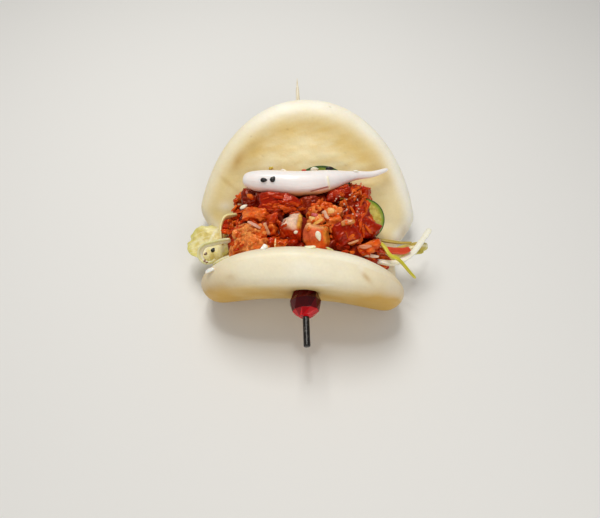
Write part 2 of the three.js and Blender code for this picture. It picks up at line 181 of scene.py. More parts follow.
def material(name, roughness, fine, bump=(), depth=NO_DEPTH, coat=NO_COAT, stretch=EVEN, **values):
    """A material, with sizes in mm.

    fine is a list of (grain size, strength) and bump one of (grain size, height). depth is the share of
    the light that goes in, how far each colour goes and the scale of that. coat is its weight and roughness.
    """
    made = bpy.data.materials.new(name)
    made.use_nodes = True
    nodes = made.node_tree.nodes
    links = made.node_tree.links
    shader = nodes["Principled BSDF"]
    values.update(Roughness=roughness, Coat_Weight=coat[0], Coat_Roughness=coat[1])
    values.update(Subsurface_Weight=depth[0], Subsurface_Radius=depth[1], Subsurface_Scale=depth[2] * 0.001)
    for socket, value in values.items():
        shader.inputs[socket.replace("_", " ")].default_value = value
    place = nodes.new("ShaderNodeTexCoord").outputs["Object"]
    tint = nodes.new("ShaderNodeAttribute")
    tint.attribute_name = "tint"
    shade = tint.outputs["Color"]
    for size, strength in fine:
        grain = add_node(nodes, "TexNoise", Scale=1000 / size, Detail=3)
        links.new(place, grain.inputs["Vector"])
        span = add_node(nodes, "MapRange", From_Min=0.3, From_Max=0.7)
        span.inputs["To Min"].default_value = 1 - strength
        span.inputs["To Max"].default_value = 1 + strength
        links.new(grain.outputs["Fac"], span.inputs["Value"])
        scaled = nodes.new("ShaderNodeVectorMath")
        scaled.operation = "SCALE"
        links.new(shade, scaled.inputs[0])
        links.new(span.outputs["Result"], scaled.inputs["Scale"])
        shade = scaled.outputs["Vector"]
    links.new(shade, shader.inputs["Base Color"])
    normal = None
    for size, height in bump:
        turned = add_node(nodes, "Mapping", Scale=stretch)
        links.new(place, turned.inputs["Vector"])
        grain = add_node(nodes, "TexNoise", Scale=1000 / size, Detail=4)
        links.new(turned.outputs["Vector"], grain.inputs["Vector"])
        raised = add_node(nodes, "Bump", Strength=1, Distance=height * 0.001)
        links.new(grain.outputs["Fac"], raised.inputs["Height"])
        if normal:
            links.new(normal, raised.inputs["Normal"])
        normal = raised.outputs["Normal"]
    if normal:
        links.new(normal, shader.inputs["Normal"])
    return made


dough_material = material(
    "dough", 0.46, [(0.9, 0.02), (5, 0.02)], [(0.45, 0.04), (2.2, 0.1)], (0.3, (1, 0.8, 0.5), 2.5))
meat_material = material(
    "pork", 0.25, [(0.5, 0.12), (1.8, 0.2)], [(0.5, 0.08), (1.4, 0.2)], (0.1, (1, 0.22, 0.06), 1),
    (0.26, 0.05), Specular_Tint=(1, 0.16, 0.03, 1), Specular_IOR_Level=0.6)
bit_material = material(
    "onion", 0.28, [(0.6, 0.08)], [(0.4, 0.05)], (0.4, (1, 0.7, 0.4), 1), (0.3, 0.08))
shallot_material = material(
    "shallot", 0.3, [(1.5, 0.02)], [(0.5, 0.02)], (0.5, (1, 0.85, 0.8), 2.5), (0.25, 0.15),
    stretch=(0.2, 1, 1))
cucumber_material = material(
    "cucumber", 0.3, [(0.6, 0.06)], [(0.5, 0.05)], (0.2, (0.6, 1, 0.2), 1.5), (0.15, 0.1),
    Specular_IOR_Level=0.3)
shred_material = material(
    "shred", 0.35, [(0.8, 0.06)], [(0.4, 0.04)], (0.4, (1, 1, 0.5), 1.5), (0.3, 0.15))
leaf_material = material("leaf", 0.4, [(0.8, 0.06)], [(0.6, 0.06)], (0.4, (1, 1, 0.4), 1.5))
pepper_material = material(
    "pepper", 0.28, [(0.8, 0.08)], [(0.8, 0.05)], (0.3, (1, 0.3, 0.1), 1.5), (0.4, 0.1))
seed_material = material("sesame", 0.4, [(0.5, 0.05)], [(0.3, 0.02)], (0.15, (1, 0.8, 0.6), 0.8))
bamboo_material = material("bamboo", 0.55, [(0.5, 0.08)], [(0.35, 0.05)], stretch=(1, 0.06, 1))
bead_material = material("bead", 0.05, [(3, 0.1)], Transmission_Weight=0.2, IOR=1.49, Specular_IOR_Level=0.25)
handle_material = material(
    "handle", 0.3, [(0.5, 0.35)], [(0.6, 0.08)], coat=(0.15, 0.1), Specular_IOR_Level=0.3)


# Meshes.
def add_mesh(name, points, faces, tints, look, nodes=()):
    mesh = bpy.data.meshes.new(name)
    mesh.from_pydata(to_frame(points).tolist(), [], [list(map(int, face)) for face in faces])
    mesh.validate()
    attribute = mesh.attributes.new("tint", "FLOAT_COLOR", "POINT")
    rgba = np.ones((len(points), 4), np.float32)
    rgba[:, :3] = np.clip(tints, 0, 1)
    attribute.data.foreach_set("color", rgba.ravel())
    mesh.polygons.foreach_set("use_smooth", [True] * len(mesh.polygons))
    mesh.materials.append(look)
    mesh.update()
    piece = place_object(name, mesh)
    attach(piece, "root")
    for node in nodes:
        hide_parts(node)
    return piece


def closed_tube(grid, flip=False, ends=None):
    """Points and faces of a tube given as rows of rings, closed by a point at each end."""
    rows, columns = grid.shape[:2]
    ends = [grid[0].mean(0), grid[-1].mean(0)] if ends is None else ends
    points = np.concatenate([grid.reshape(-1, 3), ends])
    r, c = np.meshgrid(np.arange(rows - 1), np.arange(columns), indexing="ij")
    a = r * columns + c
    b = r * columns + (c + 1) % columns
    faces = [tuple(face) for face in np.stack([a, b, b + columns, a + columns], -1).reshape(-1, 4)]
    start = rows * columns
    last = start - columns
    for c in range(columns):
        d = (c + 1) % columns
        faces.append((start, d, c))
        faces.append((start + 1, last + c, last + d))
    return points, [face[::-1] for face in faces] if flip else faces


def rings(centres, side, upward, wide, high):
    """Rings of points round the places of a route, reaching wide along side and high along upward."""
    return centres[:, None] + wide[..., None] * side + high[..., None] * upward


class Pile:
    """Several meshes gathered into one."""

    def __init__(self):
        self.points, self.faces, self.tints, self.count = [], [], [], 0

    def add(self, points, faces, tints):
        self.points.append(points)
        self.faces.extend(tuple(int(i) + self.count for i in face) for face in faces)
        self.tints.append(tints)
        self.count += len(points)

    def build(self, name, look, nodes=()):
        tints = np.concatenate(self.tints)
        return add_mesh(name, np.concatenate(self.points), self.faces, tints, look, nodes)


TREES = {}


def first_met(px, py, pieces):
    """The place on some finished pieces that shows at a pixel and the direction that it faces, or None."""
    ray = pixel_ray(px, py)
    met = None
    for piece in pieces:
        if piece.name not in TREES:
            corners = [vertex.co for vertex in piece.data.vertices]
            TREES[piece.name] = BVHTree.FromPolygons(corners, [face.vertices for face in piece.data.polygons])
        place, normal, _, distance = TREES[piece.name].ray_cast(to_frame(LOOK_FROM), ray)
        if place and (met is None or distance < met[2]):
            met = (place, normal, distance)
    if met is None:
        return None
    normal = np.array(met[1])
    return from_frame(met[0]), normal if normal.dot(ray) < 0 else -normal


# The bun: an oval disc of dough folded into two flaps on a flat base.
DOUGH_THICKNESS = 12.5
FLAP_SIDE_THINNING = 3.0
REAR_THINNING_SHARE = 0.6
FRONT_THINNING_SHARE = 0.5
THINNING_SPREAD = 15.0
FRONT_THICKENING = 3.0
THICKENING_SPREAD = 20.0
THICKENING_SIDE_LOSS = 0.5
REAR_LENGTH = 63.5
FRONT_LENGTH = 43.4
FOLD_HALF_WIDTH = 35.0
REAR_HALF_WIDTH = 45.9
FRONT_HALF_WIDTH = 38.4
REAR_SPREAD = 20.0
FRONT_SPREAD = 36.0
REAR_ROUNDNESS = 2.08
FRONT_ROUNDNESS = 3.5
RIM_SHARPNESS = 10
FRONT_INNER_SHARPNESS = 6
FRONT_OUTER_SHARPNESS = 24
FRONT_END_SHARPNESS = 5
REAR_LEAN = math.radians(42)
FRONT_LEAN = math.radians(70)
BEND_RADIUS = 11.0
REAR_BASE_LENGTH = 9.0
FRONT_BASE_LENGTH = 5.0
FRONT_BASE_SPREAD = 4.0
BASE_MID_HEIGHT = 5.7
REAR_DRIFT = -0.02
FRONT_DRIFT = 0.04
FRONT_FLARE = 3.4
RELIEF_START = 12
RELIEF_SPREAD = 20
BELLY_HEIGHT = 2.4
BELLY_EDGE = 0.74
VALLEY_DEPTH = 1.0
VALLEY_EDGE = 0.8
VALLEY_WIDTH = 0.08
BEAD_CENTRE = np.array([0.0, -31.9, 21.0])
BEAD_DENT = 5.5


def bend_dough(u, v, s, across):
    """Where dough at u across, v along and s above the middle of its thickness lies once it is folded."""
    rear = v >= 0
    base_length = np.where(rear, REAR_BASE_LENGTH, FRONT_BASE_LENGTH + FRONT_BASE_SPREAD * across ** 2)
    past_base = np.maximum(np.abs(v) - base_length, 0)
    lean = np.where(rear, REAR_LEAN, FRONT_LEAN)
    angle = np.minimum(past_base / BEND_RADIUS, lean)
    straight = np.maximum(past_base - BEND_RADIUS * lean, 0)
    along = np.minimum(np.abs(v), base_length) + BEND_RADIUS * np.sin(angle)
    along += straight * np.cos(angle) - s * np.sin(angle)
    height = BASE_MID_HEIGHT + BEND_RADIUS * (1 - np.cos(angle))
    height += straight * np.sin(angle) + s * np.cos(angle)
    drift = np.where(rear, REAR_DRIFT, FRONT_DRIFT) * v
    return np.stack([u + drift, np.where(rear, along, -along), np.maximum(height, 0)], -1)


# Marks of painted shade (tan and ochre patches, a dent, a crease) and painted highlights (bright ridges) on
# the dough: pixel of the middle, half width and half height in pixels, turn in degrees, colour and strength.
DOUGH_SHADE_AND_HIGHLIGHT_MARKS = [
    (238, 161, 9, 4, 60, "#C9A256", 0.75),
    (252, 146, 14, 4, 35, "#C9A96A", 0.35),
    (228, 183, 12, 2.5, -40, "#C8A85E", 0.45),
    (225, 206, 7, 5, 0, "#F3ECDA", 0.6),
    (388, 179, 7, 4, -60, "#CDB06C", 0.3),
    (392, 243, 14, 6, -20, "#CFA85A", 0.6),
    (404, 234, 5, 9, 0, "#D2AE66", 0.4),
    (366, 277, 8, 2.4, -48, "#C09440", 0.55),
    (361, 268, 2.5, 7, 0, "#FBF8EC", 0.5),
    (230, 277, 6, 4, 0, "#C9A765", 0.35),
    (323, 285, 11, 1.0, 0, "#FBF8EC", 0.5),
]
# Brown specks in the dough: pixel, and half width in pixels.
DOUGH_SPECKS = [
    (287, 129, 0.7), (263.5, 156, 0.7), (346, 153, 0.6), (346.5, 165, 0.9), (330, 107, 0.5), (312, 118, 0.5),
    (251, 137, 0.5), (378, 190, 0.6), (372, 151, 0.5), (265, 274, 0.5), (343, 271, 0.5), (281, 268, 0.5),
]


def paint_marks(points, tints, shown):
    column, row = to_pixel(points)
    # Painted shade and painted highlights from the marks, then the brown specks that the dough has.
    for px, py, wide, high, turn, tone, strength in DOUGH_SHADE_AND_HIGHLIGHT_MARKS:
        c, s = cos_sin(turn)
        x = (c * (column - px) - s * (row - py)) / wide
        y = (s * (column - px) + c * (row - py)) / high
        tints = mix(tints, colour(tone), strength * np.exp(-(x * x + y * y)) * shown)
    for px, py, wide in DOUGH_SPECKS:
        away = np.hypot(column - px, row - py)
        tints = mix(tints, colour("#7A4A1C"), 0.8 * bell(away, wide) * shown)
    return tints


def dough_tints(u, v, edge, face, across, soft, points):
    """Cream dough with painted light: painted highlights make its rims whitest, painted shade makes it tan in
    the dip of the rear flap and on the left, and ochre low on the front flap, at its ends and under the rear
    flap.
    """
    white, cream = colour("#FBF8ED"), colour("#E9D698")
    tan, ochre = colour("#DFC178"), colour("#D0A548")
    flat = np.stack([u, v, 40 * face], -1).reshape(-1, 3)
    slanted = flat @ np.array([[0.95, 0.3, 0], [-0.3, 0.95, 0], [0, 0, 1]]).T
    streak = layers(slanted * [0.28, 1.2, 1], 3.2, seed=21, count=3).reshape(u.shape)
    blotch = layers(flat, 11, seed=25, count=2).reshape(u.shape)

    inside_face = np.where(face > 0, 1, smooth((edge - 0.86) / 0.14))
    inner = inside_face * smooth(v / 6)
    # Painted highlight: the rims are whitened. Painted shade: the left side of the inner face is darkened.
    rim = smooth((edge - 0.84) / 0.12)
    tone = 0.83 - 0.05 * inner - (0.45 + 0.21 * smooth(v / 12)) * rim
    painted_left_shade = smooth((-across - 0.25) / 0.6)
    tone = tone + 0.4 * inner * painted_left_shade * (0.5 + 0.5 * rim) + 0.12 * blotch + 0.12 * soft
    tints = mix(white, cream, tone)

    # Painted shade: tan in the dip under the rim of the rear flap and in the streaks below it.
    high = smooth((v - 14) / 16)
    arc = bell(edge - 0.81, 0.075) * smooth((v - 27) / 14) * (0.95 + 0.35 * streak + 0.15 * blotch)
    inside = smooth((0.85 - edge) / 0.15) * high * smooth(0.42 + 0.75 * streak)
    painted_dip_shade = inner * (0.78 * arc + 0.52 * inside + 0.15 * painted_left_shade * smooth((32 - v) / 18))
    tints = mix(tints, tan, painted_dip_shade)

    # Painted shade: ochre low on the outer face of the front flap and at its ends, and under the rear flap.
    height = points[:, 2].reshape(u.shape)
    outer_face = np.where(face < 0, 1, smooth((edge - 0.86) / 0.14))
    from_rim = np.where(face < 0, 1 - edge, 0)
    low = smooth((35 - height) / 15) * (0.85 + 0.25 * blotch) * (0.25 + 0.75 * smooth(from_rim / 0.1))
    ends = 0.8 * smooth((np.abs(across) - 0.4) / 0.6) * (0.85 + 0.25 * blotch)
    low = (low + ends * (0.4 + 0.6 * smooth(from_rim / 0.06))) * smooth((-v - 2) / 12)
    tints = mix(tints, ochre, np.clip(low, 0, 1) * outer_face)
    painted_underside_shade = (0.25 + 0.15 * blotch) * smooth((1 - edge) / 0.1) * smooth(v / 8)
    return mix(tints, ochre, np.where(face < 0, painted_underside_shade, 0))


def build_bun():
    rows, columns = 238, 230
    polar = np.linspace(0, math.pi, rows + 2)[1:-1, None]
    around = full_turn(columns)[None, :]
    share = np.broadcast_to(0.6 * np.cos(polar) + 0.4 * (1 - 2 * polar / math.pi), (rows, columns))
    side = np.broadcast_to(np.cos(around), share.shape)
    face = np.sign(np.round(np.sin(around), 9)) * np.ones_like(share)
    rear = share > 0
    v = share * np.where(rear, REAR_LENGTH, FRONT_LENGTH)
    spread = smooth(np.abs(v) / np.where(rear, REAR_SPREAD, FRONT_SPREAD))
    flap_half_width = np.where(rear, REAR_HALF_WIDTH, FRONT_HALF_WIDTH)
    full_width = FOLD_HALF_WIDTH + (flap_half_width - FOLD_HALF_WIDTH) * spread
    roundness = np.where(rear, REAR_ROUNDNESS, FRONT_ROUNDNESS)
    end_share = np.abs(share) ** roundness
    across = side * np.maximum(1 - end_share, 0) ** (1 / roundness)
    u = across * full_width
    edge = np.minimum((end_share + np.abs(across) ** roundness) ** (1 / roundness), 1)
    on_front = smooth(-v / THICKENING_SPREAD)
    outer_sharpness = FRONT_OUTER_SHARPNESS + (FRONT_END_SHARPNESS - FRONT_OUTER_SHARPNESS) * across ** 2
    front_sharpness = np.where(face > 0, FRONT_INNER_SHARPNESS, outer_sharpness)
    sharpness = RIM_SHARPNESS + (front_sharpness - RIM_SHARPNESS) * on_front
    thinned = np.where(rear, REAR_THINNING_SHARE, FRONT_THINNING_SHARE) * smooth(np.abs(v) / THINNING_SPREAD)
    thickness = DOUGH_THICKNESS - FLAP_SIDE_THINNING * across ** 2 * thinned
    added = np.where(face < 0, FRONT_THICKENING * on_front * (1 - THICKENING_SIDE_LOSS * across ** 2), 0)
    half = (thickness / 2 + added) * np.sqrt(1 - edge ** sharpness)
    flare = FRONT_FLARE * across ** 2 * on_front
    on_rear = smooth((v - RELIEF_START) / RELIEF_SPREAD)
    belly = BELLY_HEIGHT * smooth((BELLY_EDGE - edge) / (1 - BELLY_EDGE))
    relief = np.where(face > 0, on_rear * (belly - VALLEY_DEPTH * bell(edge - VALLEY_EDGE, VALLEY_WIDTH)), 0)

    flat = np.stack([u, v, 40 * face], -1).reshape(-1, 3)
    soft = layers(flat, 17, seed=3, count=2).reshape(u.shape)
    ripple = layers(flat * [0.7, 1.5, 1], 5, seed=9, count=2).reshape(u.shape)
    inside = np.where(face > 0, on_rear * smooth((0.86 - edge) / 0.15), 0)
    calm = smooth((1 - edge) / 0.12)
    s = face * half + relief - flare + face * calm * (0.28 * soft + 0.12 * ripple * (0.3 + 1.3 * inside))
    points = bend_dough(u, v, s, across).reshape(-1, 3)

    from_bead = points - BEAD_CENTRE
    reach = np.linalg.norm(from_bead, axis=1)
    near = reach < BEAD_DENT
    points[near] = BEAD_CENTRE + from_bead[near] / reach[near, None] * BEAD_DENT
    points = np.clip(points, *from_frame(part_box("bun")))

    tints = dough_tints(u, v, edge, face, across, soft, points).reshape(-1, 3)
    shown = (((face > 0) & (v > 0)) | ((face < 0) & (v < 0))).reshape(-1)
    tints = paint_marks(points, tints, shown)
    ends = bend_dough(np.zeros(2), np.array([REAR_LENGTH, -FRONT_LENGTH]), np.zeros(2), np.zeros(2))
    points, faces = closed_tube(points.reshape(rows, columns, 3), True, ends)
    tints = np.concatenate([tints, tints[:1], tints[-1:]])
    return add_mesh("bun_dough", points, faces, tints, dough_material, ["bun"])


bun = build_bun()


# The filling: a heap of meat, whose surface is a rounded box.
HEAP_CENTRE = np.array([-0.6, 2.2, 15.0])
HEAP_HALF = np.array([25.0, 21.0, 11.0])
HEAP_BOXINESS = 3
CORE_INSET = 1.4
CHUNK_RADIUS = 5.4
CHUNK_COUNT = 54
CHUNK_INSET = 0.6
LOWEST_CHUNK = -0.15
CRUMB_COUNT = 90
CRUMB_RISES = (1.5, 4.6)
CRUMB_SIZES = (1.0, 2.8)
# How far from the camera the heap is looked for, in mm.
HEAP_REACH = (90, 230)


def onto_heap(direction, half=HEAP_HALF):
    scale = (np.abs(direction) ** HEAP_BOXINESS).sum(-1, keepdims=True) ** (-1 / HEAP_BOXINESS)
    return direction * scale * half + HEAP_CENTRE


def heap_under(px, py, rise):
    """Where the look through a pixel first meets the heap grown by rise, or passes nearest to it."""
    steps = LOOK_FROM + pixel_ray(px, py) * np.linspace(*HEAP_REACH, 1401)[:, None]
    depth = (np.abs((steps - HEAP_CENTRE) / (HEAP_HALF + rise)) ** HEAP_BOXINESS).sum(1)
    inside = depth < 1
    return steps[int(np.argmax(inside))] if inside.any() else steps[int(np.argmin(depth))]


def cube_ball(n):
    """Corners and faces of a cube whose sides are split n times, as one closed surface."""
    line = np.tan(np.linspace(-1, 1, n + 1) * math.pi / 4)
    a, b = np.meshgrid(line, line, indexing="ij")
    one = np.ones_like(a)
    sides = [(one, a, b), (-one, b, a), (b, one, a), (a, -one, b), (a, b, one), (b, a, -one)]
    points = np.concatenate([np.stack(side, -1).reshape(-1, 3) for side in sides])
    r, c = np.meshgrid(np.arange(n), np.arange(n), indexing="ij")
    q = r * (n + 1) + c
    quad = np.stack([q, q + n + 1, q + n + 2, q + 1], -1).reshape(-1, 4)
    faces = np.concatenate([quad + k * (n + 1) ** 2 for k in range(6)])
    _, first, inverse = np.unique(np.round(points, 5), axis=0, return_index=True, return_inverse=True)
    return unit(points[first]), inverse.ravel()[faces]


# How many times the sides of a crumb, a bit, a chunk and a large chunk are split.
TINY, SMALL, COARSE, FINE = 6, 10, 12, 20
BALLS = {n: cube_ball(n) for n in (TINY, SMALL, COARSE, FINE)}
LARGE_CHUNK = 18

# Kinds of meat: heights in mm of broad swells, fibres along the piece and crumbs on it,
# then the colours of its body, its patches and the painted highlights on its ridges, and the painted shade in
# its pits, and how much of it is patches.
KINDS = {
    "slab": (0.6, 0.35, 0.3, "#900E00", "#CC3A04", "#3C0300", 0.34),
    "dark": (0.5, 0.3, 0.3, "#6A0C00", "#B03408", "#2A0200", 0.3),
    "glazed": (0.6, 0.4, 0.35, "#B01E00", "#E46A18", "#560600", 0.42),
    "orange": (0.55, 0.35, 0.45, "#D84A04", "#F69E48", "#8A1400", 0.45),
    "crumbly": (0.6, 0.4, 1.3, "#E2580A", "#F9B464", "#982200", 0.5),
    "strand": (0.3, 0.55, 0.25, "#BC2600", "#EE8024", "#640800", 0.48),
    "pale": (0.45, 0.2, 0.35, "#B01C00", "#E8641C", "#560600", 0.35),
    "salmon": (0.45, 0.2, 0.25, "#D24404", "#EE8A40", "#961A00", 0.45),
}


def cut_block(corners, cuts, sharpness, draws):
    """A block whose corners are cut off by a few flat faces, with its edges softened."""
    normals = np.concatenate([np.eye(3), -np.eye(3), unit(draws.normal(size=(cuts, 3)))])
    heights = np.concatenate([np.ones(6), draws.uniform(0.68, 0.95, cuts)])
    reach = np.maximum(corners @ normals.T, 0) / heights
    return corners / (reach ** sharpness).sum(1, keepdims=True) ** (1 / sharpness)


def cut_face_tints(tints, kind, shape, broad):
    """The pale cut end of a cube of meat, at its upper left, which turns golden to the right."""
    x, y = shape[:, 0] + 0.12 * broad, shape[:, 1] + 0.12 * broad
    if kind == "pale":
        tints = mix(tints, colour("#F2D2B8"), 0.95 * smooth((y + 0.3) / 0.35) * smooth((0.5 - x) / 0.3))
        return mix(tints, colour("#EDB248"), 0.9 * smooth((x - 0.2) / 0.25) * smooth((y + 0.25) / 0.4))
    # Salmon pieces: a paler upper left, a painted highlight along the top, and gold to the right.
    tints = mix(tints, colour("#E0704C"), 0.7 * smooth((0.2 - x) / 0.4) * smooth((y + 0.4) / 0.5))
    tints = mix(tints, colour("#F0B478"), 0.8 * smooth((y - 0.5) / 0.3))
    return mix(tints, colour("#E69634"), 0.8 * smooth((x - 0.15) / 0.35) * smooth((y + 0.7) / 0.5))


def lump(pile, centre, size, axes3, kind, seed, n):
    """Adds one piece of meat: an uneven block, rough and coloured after its kind."""
    draws = np.random.default_rng(7000 + seed)
    corners, faces = BALLS[n]
    cuts, sharpness = (5, 7) if kind in ("slab", "dark", "strand") else (7, 11)
    shape = cut_block(corners, cuts, sharpness, draws)
    local = shape * np.asarray(size) / 2
    swell, fibre_height, crumb_height, body, patch_and_ridge_highlight_tone, pit_shade_tone, patch_share = KINDS[kind]
    spot = local + seed * 37.1
    broad = layers(spot, 5.0, seed=1, count=2)
    fibre = layers(spot * [0.3, 1, 1], 1.5, seed=5, count=2)
    crumb = 1 - 1.6 * np.abs(layers(spot, 1.9, seed=11, count=3))
    if kind != "crumbly":
        crumb = layers(spot, 1.2, seed=11, count=2)
    bump = swell * broad + fibre_height * fibre + crumb_height * crumb
    limit = 0.3 * min(size)
    world = (local + unit(shape) * np.clip(bump, -limit, limit)[:, None]) @ axes3 + centre
    patch = smooth(patch_share + 0.8 * layers(world, 3.6, seed=31, count=3))
    # Painted highlight on the raised ridges and painted shade in the pits between the bumps.
    ridge_highlight = smooth(0.1 + 0.9 * (fibre_height * fibre + crumb_height * crumb) / (fibre_height + crumb_height))
    painted_pit_shade = smooth(-0.15 - 1.1 * bump / (swell + fibre_height + crumb_height))
    patchy = np.clip(0.55 * patch + ridge_highlight * patch_share, 0, 1)
    tints = mix(colour(body), colour(patch_and_ridge_highlight_tone), 0.8 * patchy)
    tints = mix(tints, colour(pit_shade_tone), 0.85 * painted_pit_shade)
    if kind in ("pale", "salmon"):
        tints = cut_face_tints(tints, kind, shape, broad)
    pile.add(world, faces, tints)


def view_axes(turn):
    """Rows are a piece's own x, y and z: x and y lie across the view, turned, and z looks at the camera."""
    c, s = cos_sin(turn)
    return np.stack([c * view_right + s * view_up, -s * view_right + c * view_up, -forward])


def random_axes():
    q, _ = np.linalg.qr(rng.normal(size=(3, 3)))
    return q if np.linalg.det(q) > 0 else -q


MM_PER_PIXEL = 0.37
# Pieces that stand out: pixel of the middle, width and height in pixels, depth in mm, turn in degrees,
# kind, and how far the middle lies above the heap in mm.
STANDOUT = [
    (254, 204, 24, 14, 7, 5, "dark", 0.4),
    (244, 199, 15, 10, 6, 10, "orange", 0.6),
    (237, 200, 8, 7, 4, 30, "glazed", 2.0),
    (238, 207, 7, 5, 3, 10, "glazed", 1.8),
    (257, 216, 29, 16, 8, -8, "orange", 1.4),
    (233, 217, 24, 9, 5, 30, "strand", 1.6),
    (226, 225, 13, 9, 5, 15, "glazed", 1.4),
    (225, 231, 10, 6, 4, -15, "orange", 1.8),
    (238, 224, 16, 14, 6, 0, "dark", 0.2),
    (234, 240, 12, 30, 8, 2, "slab", 0.9),
    (236, 252, 13, 14, 7, 0, "slab", 1.0),
    (234, 259, 12, 7, 5, 20, "orange", 1.2),
    (247, 234, 21, 22, 8, 20, "crumbly", 1.3),
    (241, 246, 15, 20, 8, -12, "crumbly", 1.5),
    (254, 246, 22, 19, 8, 8, "crumbly", 1.7),
    (262, 233, 15, 15, 7, -28, "orange", 1.5),
    (266, 245, 11, 17, 6, 10, "glazed", 0.9),
    (256, 226, 13, 8, 4, -24, "glazed", 2.2),
    (283, 204, 47, 22, 8, -2, "slab", 1.4),
    (289, 209, 13, 8, 5, 10, "glazed", 2.6),
    (272, 221, 14, 12, 6, 10, "glazed", 0.5),
    (273, 230, 9, 12, 5, 0, "orange", 0.6),
    (312, 205, 24, 18, 7, 15, "dark", 1.0),
    (337, 196, 28, 18, 8, 22, "slab", 1.5),
    (293, 227, 22, 31, 10, -10, "pale", 2.0),
    (271, 243, 14, 12, 6, 0, "glazed", 1.0),
    (281, 245, 12, 9, 6, 0, "orange", 1.0),
    (290, 244, 15, 11, 6, 0, "slab", 0.6),
    (318, 207, 12, 12, 5, 20, "orange", 1.6),
    (313, 213, 12, 8, 5, 20, "crumbly", 1.7),
    (316, 223, 17, 9, 5, 28, "crumbly", 1.6),
    (308, 225, 9, 9, 5, 0, "glazed", 1.0),
    (325, 210, 12, 16, 6, -15, "orange", 1.6),
    (333, 213, 13, 11, 6, 0, "crumbly", 1.7),
    (334, 222, 16, 17, 7, 0, "orange", 1.5),
    (318, 238, 29, 25, 10, -3, "salmon", 2.0),
    (342, 234, 28, 25, 9, 30, "slab", 1.5),
    (346, 212, 18, 15, 6, 0, "dark", 0.6),
    (350, 196, 24, 18, 7, 10, "slab", 1.2),
    (360, 197, 21, 22, 8, -15, "glazed", 1.3),
    (361, 213, 20, 27, 8, 5, "slab", 1.5),
    (366, 230, 25, 21, 8, -30, "slab", 1.3),
    (350, 222, 20, 15, 6, 15, "glazed", 1.2),
    (367, 206, 26, 7, 4, 108, "strand", 1.2),
    (366, 194, 19, 5, 4, 128, "strand", 1.2),
    (358, 188, 21, 6, 4, 168, "strand", 0.8),
    (371, 224, 18, 6, 4, 112, "strand", 1.0),
    (353, 242, 23, 7, 5, 14, "orange", 1.2),
    (344, 248, 16, 8, 5, -10, "slab", 1.0),
    (363, 249, 34, 12, 7, 12, "orange", 1.4),
    (374, 244, 13, 12, 6, 0, "slab", 1.0),
    (375, 258, 28, 15, 8, -35, "orange", 1.4),
    (382, 265, 13, 11, 6, -60, "glazed", 1.4),
]
# The columns and rows that these cover, where the chunks behind them are painted dark as shade, and how much
# smaller these are.
COVERED_COLUMNS = (226, 380)
COVERED_ROWS = (192, 262)
HIDDEN_SHRINK = 0.8
# Rows of the slice of cucumber at the right, and the last columns of chunks and crumbs between them.
BESIDE_SLICE = (203, 236)
LAST_CHUNK_COLUMN = 362
LAST_CRUMB_COLUMN = 369


def build_filling():
    under = Pile()
    polar = np.linspace(0.02, math.pi - 0.02, 90)[:, None]
    around = full_turn(150)[None, :]
    level = np.sin(polar) * np.ones_like(around)
    upward = np.cos(polar) * np.ones_like(around)
    direction = np.stack([level * np.cos(around), level * np.sin(around), upward], -1)
    flat = direction.reshape(-1, 3)
    core = onto_heap(flat, HEAP_HALF - CORE_INSET)
    core = core + flat * (1.0 * layers(core, 4.5, seed=2, count=3))[:, None]
    points, faces = closed_tube(core.reshape(direction.shape), True)
    # A dark sauce core, painted near black as the shade in the gaps between the chunks.
    shade = smooth(0.5 + layers(points, 4, seed=6))
    under.add(points, faces, mix(colour("#3A0402"), colour("#7A1005"), 0.7 * shade))

    golden_turn = math.pi * (3 - math.sqrt(5))
    for i in range(CHUNK_COUNT):
        up = 1 - (1 - LOWEST_CHUNK) * (i + 0.5) / CHUNK_COUNT
        level = math.sqrt(1 - up * up)
        spot = np.array([level * math.cos(i * golden_turn), level * math.sin(i * golden_turn), up])
        if abs(spot[1]) > 0.75 and up < 0.5:
            continue
        radius = CHUNK_RADIUS * rng.uniform(0.85, 1.15)
        size = 2 * radius * rng.uniform([0.85, 0.75, 0.65], [1.1, 0.95, 0.85])
        centre = onto_heap(spot) - CHUNK_INSET * spot
        kind = rng.choice(["slab", "glazed", "glazed", "orange", "crumbly"])
        column, row = to_pixel(centre)
        if column > LAST_CHUNK_COLUMN and BESIDE_SLICE[0] < row < BESIDE_SLICE[1]:
            continue
        # Painted shade: chunks hidden behind the standing-out pieces take the dark kind.
        if COVERED_COLUMNS[0] < column < COVERED_COLUMNS[1] and COVERED_ROWS[0] < row < COVERED_ROWS[1]:
            kind = "dark"
            size = size * HIDDEN_SHRINK
        lump(under, centre, size, random_axes(), kind, i, COARSE)
    heap = under.build("pork_heap", meat_material, ["pork_filling"])

    top = Pile()
    for i, (px, py, width, height, depth, turn, kind, rise) in enumerate(STANDOUT):
        size = (width * MM_PER_PIXEL, height * MM_PER_PIXEL, depth)
        n = FINE if max(width, height) > LARGE_CHUNK else COARSE
        lump(top, heap_under(px, py, rise), size, view_axes(turn), kind, 100 + i, n)
    chunks = top.build("pork_chunks", meat_material)

    crumbs = Pile()
    for i in range(CRUMB_COUNT):
        direction = unit(rng.normal(size=3) * [1, 1, 0.8] + [0, 0, 0.5])
        if direction[2] < -0.1 or (abs(direction[1]) > 0.8 and direction[2] < 0.45):
            continue
        spot = onto_heap(direction) + direction * rng.uniform(*CRUMB_RISES)
        size = rng.uniform(*CRUMB_SIZES) * rng.uniform([0.8, 0.6, 0.5], [1.3, 1.0, 0.9])
        column, row = to_pixel(spot)
        if column > LAST_CRUMB_COLUMN and BESIDE_SLICE[0] - 5 < row < BESIDE_SLICE[1]:
            continue
        lump(crumbs, spot, size, random_axes(), rng.choice(["glazed", "orange", "strand"]), 200 + i, TINY)
    return heap, chunks, crumbs.build("pork_crumbs", meat_material)


heap, chunks, crumbs = build_filling()

